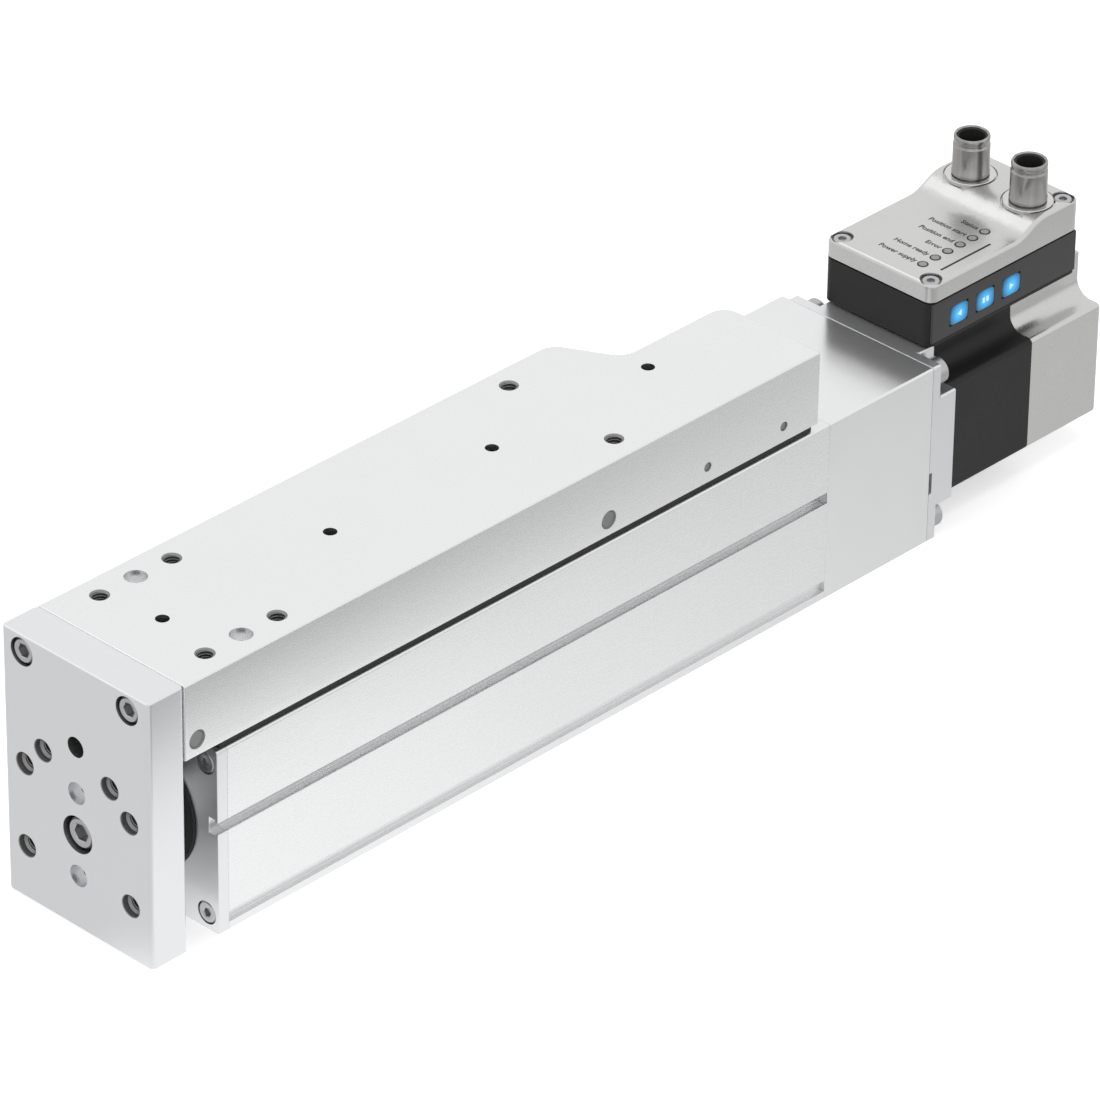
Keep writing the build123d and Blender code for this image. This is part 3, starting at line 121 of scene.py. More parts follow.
# Small pieces that get a smooth copy, with their share of the chamfer
SMOOTHED = (
    ("piston_rod", 0.8), ("rod_wiper", 0.8), ("rod_bush", 0.5), ("guide_rail", 0.6),
    ("guide_carriage", 0.8), ("carriage_seals", 0.4), ("status_lights", 0.3),
    ("cover_gasket", 0.2), ("end_buffers", 0.6), ("nut_carrier", 0.5), ("rail_screws", 0.5),
    ("connector_pins", 0.3),
)

# Marks on the keys, as outlines in millimetres from the key's middle
BACK_ARROW = [[(-0.9, 0.0), (0.9, -1.1), (0.9, 1.1)]]
PAUSE_BARS = [
    [(-1.4, -0.9), (-0.4, -0.9), (-0.4, 0.9), (-1.4, 0.9)],
    [(0.4, -0.9), (1.4, -0.9), (1.4, 0.9), (0.4, 0.9)],
]
FORWARD_ARROW = [[(0.9, 0.0), (-0.9, 1.1), (-0.9, -1.1)]]

# Plug connectors, turned from (radius, height below the rim) in millimetres
PLUG_SHELL = [
    (4.75, -21.0), (5.5, -21.0), (5.5, -13.3), (6.0, -13.3), (6.0, -12.3), (5.85, -12.1),
    (5.85, -3.3), (5.6, -3.0), (5.45, -2.7), (5.45, -2.3), (5.7, -2.0), (5.75, -0.5),
    (5.5, 0.0), (5.0, 0.0), (4.75, -0.3),
]
PLUG_RING = [
    (5.55, -15.0), (8.0, -15.0), (8.0, -13.9), (7.8, -13.7), (5.7, -13.7), (5.55, -13.9),
]
PLUG_LINER = [(4.2, -9.0), (4.74, -9.0), (4.74, -0.6), (4.45, -0.5), (4.2, -0.7)]

# Print on the cover, from the front light to the rear one, in millimetres
WORDS = ("Power supply", "Home ready", "Error", "Position end", "Position start", "Status")
WORD_SIZE = 2.75
WORD_GAP = 1.4
PRINT_SINK = 0.1
PRINT_LIFTS = (-0.05, 0.02)
LINE_AWAY = 6.3
LINE_HALF = 0.4
LINE_ENDS = (0.2, 4.2)

# Strengths of white: the floor's painted glow away from the object, seen only in reflections,
# what lifts the floor for the camera, and the world as light
FLOOR_GLOW = 0.82
FLOOR_LIFT = 0.55
WORLD_LIGHT = 0.55

# Lamps face their targets, in metres, and only a mirrored one is seen in reflections
Lamp = namedtuple("Lamp", "name place target size power mirrored")
LAMPS = (
    Lamp("Key light", (-0.3, 0.2, 2.1), (0.0, 0.07, 0.04), (1.6, 1.6), 14, False),
    Lamp("Fill light", (1.2, -0.5, 0.8), (0.0, 0.0, 0.04), (0.9, 0.7), 3, False),
    Lamp("Gleam light", (-0.94, -0.04, 1.35), (0.0, 0.245, 0.087), (0.7, 0.7), 1.1, True),
)
# Point that the camera looks at, in millimetres
LOOK_AT = (-19.8, 75.7, 25.8)

# Sizes and colours that a user would change

LENGTH = {"precision": 5, "subtype": "DISTANCE", "unit": "LENGTH"}
ANGLE = {"subtype": "ANGLE", "unit": "ROTATION"}
COLOUR = {"subtype": "COLOR", "size": 3, "min": 0.0, "max": 1.0}


class ShapeSettings(PropertyGroup):
    edge_width: FloatProperty(
        name="Edge width", description="Width of the small chamfer on machined edges",
        default=0.35 * MM, **LENGTH,
    )
    plate_edge_width: FloatProperty(
        name="Plate edge width", description="Width of the chamfer round the front plate",
        default=0.5 * MM, **LENGTH,
    )
    mouth_radius: FloatProperty(
        name="Mouth radius", description="Radius of the countersunk mouth of each table thread",
        default=3.0 * MM, **LENGTH,
    )
    mouth_depth: FloatProperty(
        name="Mouth depth", description="Depth of the countersunk mouth of each table thread",
        default=0.5 * MM, **LENGTH,
    )
    thread_pitch: FloatProperty(
        name="Thread pitch", description="Rise of the payload threads in one turn",
        default=1.0 * MM, **LENGTH,
    )
    thread_turns: IntProperty(
        name="Thread turns", description="Turns of thread shown in each payload hole",
        default=6, min=1, max=14,
    )
    head_knurls: IntProperty(
        name="Head knurls",
        description="Ridges round each socket screw head, best a multiple of six",
        default=36, min=12, max=60,
    )


class FinishSettings(PropertyGroup):
    anodised: FloatVectorProperty(
        name="Anodised aluminium", description="Colour of the slide and the housing",
        default=(0.82, 0.825, 0.83), **COLOUR,
    )
    plate: FloatVectorProperty(
        name="Plate aluminium", description="Colour of the front plate, front cap and flange",
        default=(0.77, 0.78, 0.79), **COLOUR,
    )
    cast: FloatVectorProperty(
        name="Cast aluminium", description="Colour of the electronics cover and the end cap",
        default=(0.62, 0.62, 0.61), **COLOUR,
    )
    black: FloatVectorProperty(
        name="Motor black", description="Colour of the motor body and the electronics base",
        default=(0.022, 0.021, 0.022), **COLOUR,
    )
    key_blue: FloatVectorProperty(
        name="Key blue", description="Colour of the lit keys",
        default=(0.02, 0.24, 0.50), **COLOUR,
    )


class StageSettings(PropertyGroup):
    azimuth: FloatProperty(
        name="Azimuth", description="Camera's direction round the object",
        default=math.radians(43.76), **ANGLE,
    )
    elevation: FloatProperty(
        name="Elevation", description="Camera's height above the horizon",
        default=math.radians(31.79), **ANGLE,
    )
    roll: FloatProperty(
        name="Roll", description="Camera's tilt about its line of sight",
        default=math.radians(0.75), **ANGLE,
    )
    distance: FloatProperty(
        name="Distance", description="Camera's distance from the point it looks at",
        default=2.333, **LENGTH,
    )
    lens: FloatProperty(
        name="Lens", description="Focal length of the camera, in millimetres", default=253.9,
    )
    floor_colour: FloatVectorProperty(
        name="Floor colour", description="Colour of the pale floor",
        default=(0.86, 0.86, 0.86), **COLOUR,
    )


# Materials


class Graph:
    """A node tree under construction."""

    def __init__(self, tree):
        self.tree = tree

    def fill(self, socket, value):
        """Sets a socket to a value, or links another socket to it."""
        if isinstance(value, bpy.types.NodeSocket):
            self.tree.links.new(value, socket)
        else:
            socket.default_value = value

    def node(self, kind, inputs=(), **settings):
        """The outputs of a new node, whose inputs are filled by their names."""
        made = self.tree.nodes.new(kind)
        for key, value in settings.items():
            setattr(made, key, value)
        for label, value in dict(inputs).items():
            self.fill(made.inputs[label], value)
        return made.outputs

    def math(self, operation, *values):
        """A Math node on numbers and sockets."""
        return self.node("ShaderNodeMath", enumerate(values), operation=operation)["Value"]

    def ranged(self, value, low, high, start=0.3, end=0.7, blend="LINEAR"):
        """A value from low to high as the input goes from start to end."""
        return self.node("ShaderNodeMapRange", {
            "Value": value, "From Min": start, "From Max": end, "To Min": low, "To Max": high,
        }, interpolation_type=blend)["Result"]

    def ramp(self, value, start, end, low=0.0, high=1.0):
        """A soft step from low to high."""
        return self.ranged(value, low, high, start, end, "SMOOTHSTEP")

    def blend(self, share, low, high):
        """A value that goes from low to high with the share."""
        change = self.math("MULTIPLY", share, self.math("SUBTRACT", high, low))
        return self.math("ADD", low, change)

    def split(self, vector):
        return self.node("ShaderNodeSeparateXYZ", {"Vector": vector})


class Finish(Graph):
    """A procedural material under construction."""

    def __init__(self, name, colour, metallic=0.0, roughness=0.5, **sockets):
        self.material = bpy.data.materials.new(name)
        self.material.use_nodes = True
        super().__init__(self.material.node_tree)
        self.shader = self.tree.nodes["Principled BSDF"]
        self.give(
            Base_Color=(*colour, 1.0), Metallic=metallic, Roughness=roughness, **sockets
        )
        self.colour = colour
        self.place = self.node("ShaderNodeTexCoord")["Object"]
        self.bump = None

    def give(self, **sockets):
        """Fills inputs of the shader."""
        for socket, value in sockets.items():
            self.fill(self.shader.inputs[socket.replace("_", " ")], value)

    def noise(self, scale, detail, stretch=(1, 1, 1)):
        """Noise of so many cells a metre, stretched along the axes."""
        mapped = self.node("ShaderNodeMapping", {"Scale": stretch, "Vector": self.place})
        return self.node("ShaderNodeTexNoise", {
            "Scale": scale, "Detail": detail, "Roughness": 0.55, "Vector": mapped["Vector"],
        })["Fac"]

    def tint(self, value, low, high):
        """Base colour that runs between two brightness factors."""
        tinted = self.node("ShaderNodeMix", {
            "A": (*[c * low for c in self.colour], 1.0),
            "B": (*[min(1.0, c * high) for c in self.colour], 1.0),
            "Factor": value,
        }, data_type="RGBA")["Result"]
        self.give(Base_Color=tinted)
        return tinted

    def rough(self, value, low, high):
        self.give(Roughness=self.ranged(value, low, high))

    def relief(self, value, distance):
        """Adds a height to the surface, in metres."""
        inputs = {"Strength": 1.0, "Distance": distance, "Height": value}
        if self.bump is not None:
            inputs["Normal"] = self.bump
        self.bump = self.node("ShaderNodeBump", inputs)["Normal"]
        self.give(Normal=self.bump)


def drawn_metal(name, colour, roughness, along=(1, 0.02, 1)):
    """Machined or extruded metal with fine lines along one axis and soft clouding."""
    finish = Finish(name, colour, 0.85, roughness)
    lines = finish.noise(2600, 3, along)
    finish.tint(finish.noise(28, 3), 0.985, 1.015)
    finish.rough(lines, roughness - 0.02, roughness + 0.02)
    finish.relief(lines, 0.35e-6)
    return finish.material


def lapped_metal(name, colour, roughness, polished):
    """Ground metal whose upward faces are lapped and mirror what stands on them."""
    finish = Finish(name, colour, 0.85, roughness)
    finish.tint(finish.noise(40, 4), 0.97, 1.02)
    facing = finish.split(finish.node("ShaderNodeTexCoord")["Normal"])
    finish.give(Roughness=finish.ranged(facing["Z"], roughness, polished, 0.85, 0.99))
    finish.relief(finish.noise(2400, 2, (0.03, 1, 1)), 0.4e-6)
    return finish.material


def cast_metal(name, colour, roughness):
    """Blasted and polished casting: fine pits, gentle waves and varied gloss."""
    finish = Finish(name, colour, 0.92, roughness)
    waves = finish.noise(60, 2)
    finish.tint(waves, 0.97, 1.03)
    finish.rough(finish.noise(90, 3), roughness - 0.02, roughness + 0.03)
    finish.relief(waves, 4e-6)
    finish.relief(finish.noise(3800, 2), 0.3e-6)
    return finish.material


def ground_steel(name, colour, roughness):
    """Ground or turned metal with fine, even grain."""
    finish = Finish(name, colour, 0.95, roughness)
    finish.tint(finish.noise(900, 3), 0.9, 1.05)
    finish.rough(finish.noise(1800, 2), roughness - 0.05, roughness + 0.08)
    finish.relief(finish.noise(5000, 2), 1.5e-6)
    return finish.material


def plated_metal(name, colour, roughness, streaks=0.55):
    """Plated turned metal with streaks up its sides."""
    finish = Finish(name, colour, 0.95, roughness)
    finish.tint(finish.noise(420, 2, (1, 1, 0.03)), 1 - streaks, 1 + streaks)
    finish.rough(finish.noise(900, 2, (1, 1, 0.1)), roughness - 0.04, roughness + 0.05)
    finish.relief(finish.noise(3000, 2, (0.2, 0.2, 1)), 0.6e-6)
    return finish.material


def moulded_plastic(name, colour, roughness, grain=2.5e-6, **sockets):
    """Moulded plastic or rubber with a fine eroded grain."""
    finish = Finish(name, colour, 0.0, roughness, **sockets)
    finish.tint(finish.noise(60, 3), 0.88, 1.12)
    finish.rough(finish.noise(900, 3), roughness - 0.04, roughness + 0.06)
    finish.relief(finish.noise(6500, 2), grain)
    return finish.material


def painted_black(name, colour):
    """Powder coated laminations: dark satin with a faint vertical grain."""
    finish = Finish(name, colour, 0.0, 0.45, Specular_IOR_Level=0.25)
    finish.tint(finish.noise(70, 3), 0.85, 1.2)
    finish.rough(finish.noise(1200, 3), 0.42, 0.54)
    finish.relief(finish.noise(2600, 3, (1, 1, 0.25)), 5e-6)
    return finish.material


def lit_key(name, colour):
    """Translucent keys lit from behind, brighter towards their middles."""
    low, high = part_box("key_1")
    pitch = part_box("key_2")[0].y - low.y
    finish = Finish(name, colour, 0.0, 0.25, Coat_Weight=0.3, Coat_Roughness=0.1)
    place = finish.split(finish.place)
    along = finish.math("SUBTRACT", place["Y"], (low.y + high.y) / 2 - 8 * pitch)
    along = finish.math("PINGPONG", along, pitch / 2)
    across = finish.math("SUBTRACT", place["Z"], (low.z + high.z) / 2)
    squares = [finish.math("MULTIPLY", side, side) for side in (along, across)]
    reach = finish.math("SQRT", finish.math("ADD", *squares))
    lit = finish.tint(finish.ranged(reach, 1.0, 0.0, 0.4 * MM, 4.4 * MM), 0.3, 2.0)
    finish.give(Emission_Color=lit, Emission_Strength=0.6)
    finish.relief(finish.noise(3000, 2), 1e-6)
    return finish.material


def key_mark(name, colour):
    """Pale print on a lit key, lit through."""
    finish = Finish(name, colour, 0.0, 0.4)
    lit = finish.tint(finish.noise(2500, 2), 0.85, 1.0)
    finish.give(Emission_Color=lit, Emission_Strength=0.45)
    return finish.material


def solder_mask(name, colour):
    """Circuit board: green lacquer over faint copper tracks."""
    finish = Finish(name, colour, 0.0, 0.35, Coat_Weight=0.4)
    tracks = finish.node("ShaderNodeTexBrick", {"Scale": 260, "Vector": finish.place})["Fac"]
    finish.tint(tracks, 0.8, 1.5)
    finish.relief(tracks, 8e-6)
    return finish.material


def make_finishes(f):
    """One material for each material slot of the record, and four for finer detail."""
    black = tuple(f.black)
    dull = {"Specular_IOR_Level": 0.25}
    return {
        "anodised_aluminium": drawn_metal("Anodised aluminium", tuple(f.anodised), 0.27),
        "plate_aluminium": drawn_metal(
            "Plate aluminium", tuple(f.plate), 0.3, along=(0.02, 1, 1)
        ),
        "cast_aluminium": cast_metal("Cast aluminium", tuple(f.cast), 0.27),
        "steel": ground_steel("Ground steel", (0.52, 0.52, 0.53), 0.3),
        "screw_steel": ground_steel("Screw steel", (0.50, 0.50, 0.51), 0.32),
        "hard_chrome": ground_steel("Hard chrome", (0.78, 0.78, 0.79), 0.12),
        "black_motor": painted_black("Motor black", black),
        "black_plastic": moulded_plastic("Black plastic", black, 0.45, **dull),
        "black_rubber": moulded_plastic("Black rubber", (0.018, 0.018, 0.018), 0.62, 6e-6),
        "window_plastic": moulded_plastic(
            "Smoked window", (0.045, 0.042, 0.042), 0.2, 0.5e-6, Specular_IOR_Level=0.4
        ),
        "key_plastic": lit_key("Lit key", tuple(f.key_blue)),
        "light_plastic": moulded_plastic("Clear light", (0.30, 0.31, 0.30), 0.25, 1e-6),
        "blue_elastomer": moulded_plastic("Red elastomer", (0.45, 0.04, 0.03), 0.5),
        "board": solder_mask("Circuit board", (0.02, 0.12, 0.05)),
        "brass": ground_steel("Gold plated brass", (0.80, 0.60, 0.25), 0.25),
        "nickel_brass": plated_metal("Nickel plated brass", (0.35, 0.345, 0.335), 0.2),
        "magnet": moulded_plastic("Sintered magnet", (0.06, 0.06, 0.065), 0.5),
        "bronze": ground_steel("Bronze", (0.55, 0.36, 0.16), 0.4),
        "lapped": lapped_metal("Lapped aluminium", tuple(f.anodised), 0.27, 0.2),
        "key_mark": key_mark("Key mark", (0.62, 0.85, 1.0)),
        "lock_ring": plated_metal("Polished nickel", (0.66, 0.655, 0.64), 0.22, 0.1),
        # Dark steel for bore walls, their threads and the table's plugs: painted shade in the
        # holes
        "bore": ground_steel("Oiled bore", (0.31, 0.31, 0.315), 0.45),
    }


FINISHES = {}


def finish_of(slot):
    if not FINISHES:
        FINISHES.update(make_finishes(bpy.context.scene.slide_finish))
    return FINISHES[slot]


# Mesh tools


def link_object(name, data):
    made = bpy.data.objects.new(name, data)
    bpy.context.scene.collection.objects.link(made)
    return made


def evaluated_mesh(holder, name):
    """What an object looks like with its modifiers, as a plain mesh."""
    bpy.context.view_layer.update()
    graph = bpy.context.evaluated_depsgraph_get()
    mesh = bpy.data.meshes.new_from_object(holder.evaluated_get(graph))
    mesh.name = name
    return mesh


def new_piece(name, mesh, body, slot, *replaced, finish=None):
    """Links a finished mesh as a piece of the object."""
    piece = link_object(name, mesh)
    if len(mesh.materials) < 2:
        mesh.materials.clear()
        mesh.materials.append(finish_of(finish or slot))
    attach(piece, body)
    if replaced:
        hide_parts(*replaced)
    return piece


def circle(radius, height, steps):
    angles = [2 * math.pi * i / steps for i in range(steps)]
    return [Vector((radius * math.cos(a), radius * math.sin(a), height)) for a in angles]


def skin(work, rings, close=False):
    """Adds a skin over rings of equal point counts; open ends are capped."""
    rows = [[work.verts.new(point) for point in ring] for ring in rings]
    count = len(rings[0])
    for lower, upper in zip(rows, rows[1:] + ([rows[0]] if close else [])):
        for i in range(count):
            j = (i + 1) % count
            work.faces.new((lower[i], lower[j], upper[j], upper[i]))
    if not close:
        work.faces.new(list(reversed(rows[0])))
        work.faces.new(rows[-1])


def finished_mesh(work, name, crease=38.0):
    """Turns faces outwards, shades them smooth between sharp edges, and frees the bmesh."""
    bmesh.ops.recalc_face_normals(work, faces=work.faces)
    for face in work.faces:
        face.smooth = True
    for edge in work.edges:
        if len(edge.link_faces) == 2 and edge.calc_face_angle(0) > math.radians(crease):
            edge.smooth = False
    mesh = bpy.data.meshes.new(name)
    work.to_mesh(mesh)
    work.free()
    return mesh


def ring_mesh(name, rings, close=False):
    work = bmesh.new()
    skin(work, rings, close)
    return finished_mesh(work, name)


def lathe(name, profile, steps=64):
    """A closed ring turned about Z from (radius, height) points in millimetres."""
    return ring_mesh(name, [circle(r * MM, h * MM, steps) for r, h in profile], True)


def solid_boxes(node):
    """The lowest and highest corners of each separate solid of a CAD node."""
    work = bmesh.new()
    work.from_mesh(NODES[node].data)
    bmesh.ops.remove_doubles(work, verts=work.verts, dist=SAME_PLACE)
    seen, boxes = set(), []
    for start in work.verts:
        if start in seen:
            continue
        stack, group = [start], []
        seen.add(start)
        while stack:
            vert = stack.pop()
            group.append(vert.co.copy())
            for edge in vert.link_edges:
                other = edge.other_vert(vert)
                if other not in seen:
                    seen.add(other)
                    stack.append(other)
        low = Vector([min(p[i] for p in group) for i in range(3)])
        high = Vector([max(p[i] for p in group) for i in range(3)])
        boxes.append((low, high))
    work.free()
    return boxes


def merged(node, name):
    """A copy of a CAD node's mesh with its facets merged."""
    mesh = bpy.data.meshes.new(name)
    work = bmesh.new()
    work.from_mesh(NODES[node].data)
    bmesh.ops.remove_doubles(work, verts=work.verts, dist=SAME_PLACE)
    bmesh.ops.dissolve_limit(
        work, angle_limit=math.radians(0.5), use_dissolve_boundaries=False,
        verts=work.verts, edges=work.edges,
    )
    work.to_mesh(mesh)
    work.free()
    return mesh


def drilled(mesh, drills, slot):
    """The mesh with turned bores cut into it, their walls darkened as painted shade, each as
    (places, turn, profile in mm).
    """
    work = bmesh.new()
    for places, turn, profile in drills:
        turned = Euler(turn).to_matrix()
        for place in places:
            skin(work, [
                [turned @ point + Vector(place) for point in circle(r * MM, h * MM, 48)]
                for r, h in profile
            ])
    blank = link_object("Blank", mesh)
    cutter = link_object("Cutter", finished_mesh(work, "Cutter"))
    mesh.materials.clear()
    mesh.materials.append(finish_of(slot))
    # The cut walls take the dark bore finish, painted shade
    cutter.data.materials.append(finish_of("bore"))
    carve = blank.modifiers.new("Carve", "BOOLEAN")
    carve.object = cutter
    carve.operation = "DIFFERENCE"
    carve.solver = "EXACT"
    carve.material_mode = "TRANSFER"
    result = evaluated_mesh(blank, mesh.name)
    for thing in (blank, cutter):
        bpy.data.objects.remove(thing)
    return result


def edge_chains(work, limit):
    """Lists of sharp edges that touch each other."""
    sharp = {
        edge for edge in work.edges
        if len(edge.link_faces) == 2 and edge.calc_face_angle(0) > math.radians(limit)
    }
    while sharp:
        chain = [sharp.pop()]
        stack = list(chain)
        while stack:
            for vert in stack.pop().verts:
                for other in vert.link_edges:
                    if other in sharp:
                        sharp.discard(other)
                        stack.append(other)
                        chain.append(other)
        yield chain


def softened(node, name, width, drills=(), limit=35.0, least=60.0, finish=None):
    """A copy of a CAD node, drilled, with a chamfer on outlines over the least length in mm."""
    mesh = merged(node, name)
    if drills:
        mesh = drilled(mesh, drills, SLOT_OF[node])
    work = bmesh.new()
    work.from_mesh(mesh)
    weight = work.edges.layers.float.new("bevel_weight_edge")
    for face in work.faces:
        face.smooth = True
    for chain in edge_chains(work, limit):
        large = sum(edge.calc_length() for edge in chain) > least * MM
        for edge in chain:
            if large:
                edge[weight] = 1.0
            else:
                edge.smooth = False
    work.to_mesh(mesh)
    work.free()
    piece = new_piece(name, mesh, BODY_OF[node], SLOT_OF[node], node, finish=finish)
    bevel = piece.modifiers.new("Edges", "BEVEL")
    bevel.width = width
    bevel.segments = 2
    bevel.limit_method = "WEIGHT"
    bevel.loop_slide = False
    bevel.use_clamp_overlap = False
    shading = piece.modifiers.new("Shading", "WEIGHTED_NORMAL")
    shading.mode = "FACE_AREA"
    shading.weight = 100
    shading.keep_sharp = True


def hexagon_radius(angle, flats):
    """Distance from the centre to a hexagon's edge in a direction."""
    local = (angle + math.pi / 6) % (math.pi / 3) - math.pi / 6
    return flats / 2 / math.cos(local)


def socket_head(name, radius, height, flats, shank, length, knurls):
    """Socket screw along -Z with its head's underside at zero and a hexagon in the top."""
    steps = 2 * knurls
    rim = 0.12 * radius

    def ring(reach, z, knurled=False, hexagon=False):
        points = []
        for i in range(steps):
            angle = 2 * math.pi * i / steps
            r = hexagon_radius(angle, flats) if hexagon else reach
            if knurled and i % 2:
                r -= KNURL_SHARE * radius
            points.append((r * math.cos(angle), r * math.sin(angle), z))
        return points

    return ring_mesh(name, [
        ring(shank * 0.6, -length),
        ring(shank, -length + 0.4 * shank),
        ring(shank, 0.0),
        ring(radius - 0.5 * rim, 0.0),
        ring(radius, 0.5 * rim, True),
        ring(radius, height - rim, True),
        ring(radius - rim, height),
        ring(flats * 0.66, height),
        ring(0, height - 0.07 * height, hexagon=True),
        ring(0, height * 0.42, hexagon=True),
        ring(flats * 0.12, height * 0.34),
    ])


# Geometry Nodes


def new_tree(name, inputs):
    """A geometry tree with named inputs: its graph, and the outputs of its group input."""
    tree = bpy.data.node_groups.new(name, "GeometryNodeTree")
    tree.interface.new_socket("Geometry", in_out="INPUT", socket_type="NodeSocketGeometry")
    for label, kind, default in inputs:
        socket = tree.interface.new_socket(label, in_out="INPUT", socket_type=kind)
        if default is not None:
            socket.default_value = default
    tree.interface.new_socket("Geometry", in_out="OUTPUT", socket_type="NodeSocketGeometry")
    graph = Graph(tree)
    return graph, graph.node("NodeGroupInput")


def scattered(graph, given, geometry):
    """One turned instance at every point of the given cloud."""
    return graph.node("GeometryNodeInstanceOnPoints", {
        "Points": given["Geometry"], "Instance": geometry, "Rotation": given["Turn"],
    })["Instances"]


def ended(graph, given, instances):
    """The tree, ended in real geometry with the given material."""
    real = graph.node("GeometryNodeRealizeInstances", {"Geometry": instances})["Geometry"]
    inputs = {"Geometry": real, "Material": given["Material"]}
    painted = graph.node("GeometryNodeSetMaterial", inputs)["Geometry"]
    graph.node("NodeGroupOutput", {"Geometry": painted})
    return graph.tree


def placed_copies_tree():
    """Copies of a template at every point, turned one way, each spun by a random angle."""
    graph, given = new_tree("Placed copies", [
        ("Template", "NodeSocketObject", None),
        ("Turn", "NodeSocketVector", (0.0, 0.0, 0.0)),
        ("Spin", "NodeSocketFloat", 1.0),
        ("Seed", "NodeSocketInt", 3),
        ("Material", "NodeSocketMaterial", None),
    ])
    template = graph.node("GeometryNodeObjectInfo", {"Object": given["Template"]})["Geometry"]
    inputs = {"Max": 2 * math.pi, "Seed": given["Seed"]}
    chance = graph.node("FunctionNodeRandomValue", inputs)["Value"]
    amount = graph.math("MULTIPLY", chance, given["Spin"])
    spun = graph.node("GeometryNodeRotateInstances", {
        "Local Space": True,
        "Instances": scattered(graph, given, template),
        "Rotation": graph.node("ShaderNodeCombineXYZ", {"Z": amount})["Vector"],
    })["Instances"]
    return ended(graph, given, spun)


def thread_tree():
    """A wound ridge at every point, with its height along the turned Z."""
    graph, given = new_tree("Wound thread", [
        ("Radius", "NodeSocketFloat", 2.6 * MM),
        ("Ridge", "NodeSocketFloat", 0.3 * MM),
        ("Turns", "NodeSocketFloat", 6.0),
        ("Pitch", "NodeSocketFloat", 1.0 * MM),
        ("Turn", "NodeSocketVector", (0.0, 0.0, 0.0)),
        ("Material", "NodeSocketMaterial", None),
    ])
    spiral = graph.node("GeometryNodeCurveSpiral", {
        "Resolution": 28,
        "Rotations": given["Turns"],
        "Start Radius": given["Radius"],
        "End Radius": given["Radius"],
        "Height": graph.math("MULTIPLY", given["Turns"], given["Pitch"]),
    })["Curve"]
    section = graph.node("GeometryNodeCurvePrimitiveCircle", {
        "Resolution": 4, "Radius": given["Ridge"],
    })["Curve"]
    sweep = graph.node("GeometryNodeCurveToMesh", {
        "Fill Caps": True, "Curve": spiral, "Profile Curve": section,
    })["Mesh"]
    return ended(graph, given, scattered(graph, given, sweep))


TREES = {}


def grown_piece(name, make_tree, points, body, slot, values, replaced=(), finish=None):
    """Runs a tree on a cloud of points and keeps the result as a plain piece."""
    if make_tree not in TREES:
        TREES[make_tree] = make_tree()
    tree = TREES[make_tree]
    cloud = bpy.data.meshes.new(name + "_points")
    cloud.from_pydata([tuple(p) for p in points], [], [])
    holder = link_object(name + "_points", cloud)
    modifier = holder.modifiers.new("Grow", "NODES")
    modifier.node_group = tree
    values = {**values, "Material": finish_of(finish or slot)}
    for item in tree.interface.items_tree:
        if item.item_type == "SOCKET" and item.in_out == "INPUT" and item.name in values:
            modifier[item.identifier] = values[item.name]
    mesh = evaluated_mesh(holder, name)
    bpy.data.objects.remove(holder)
    bpy.data.meshes.remove(cloud)
    new_piece(name, mesh, body, slot, *replaced)


def copies(name, mesh, points, body, slot, *replaced, finish=None, **values):
    """Copies of a mesh at the points, as one piece."""
    template = link_object(mesh.name, mesh)
    values["Template"] = template
    grown_piece(name, placed_copies_tree, points, body, slot, values, replaced, finish)
    bpy.data.objects.remove(template)


def payload_holes(radius):
    """Places of the payload holes of one radius, on the table and on the front plate."""
    table, plate = [], []
    for mount in RECORD["mounts"]:
        dims = mount["dims"]
        if mount["kind"] != "bolt_pattern" or abs(dims["hole_r_mm"] - radius) > 0.01:
            continue
        dx = dims.get("spacing_x_mm", 0) * MM / 2
        dy = dims.get("spacing_y_mm", 0) * MM / 2
        x, y, z = mount["pos_m"]
        for px in sorted({x - dx, x + dx}):
            for shift in sorted({-dy, dy}):
                if mount["axis"][2] > 0.5:
                    table.append((px, y + shift, z))
                elif mount["axis"][1] < -0.5:
                    plate.append((px, y, z + shift))
    return table, plate


class SLIDE_OT_frame(Operator):
    """Gives every part of the frame its finish"""

    bl_idname = "slide.frame"
    bl_label = "Finish the frame"

    def execute(self, context):
        for name, node in NODES.items():
            node.data.materials.clear()
            node.data.materials.append(finish_of(SLOT_OF[name]))
            for polygon in node.data.polygons:
                polygon.use_smooth = False
        return {"FINISHED"}


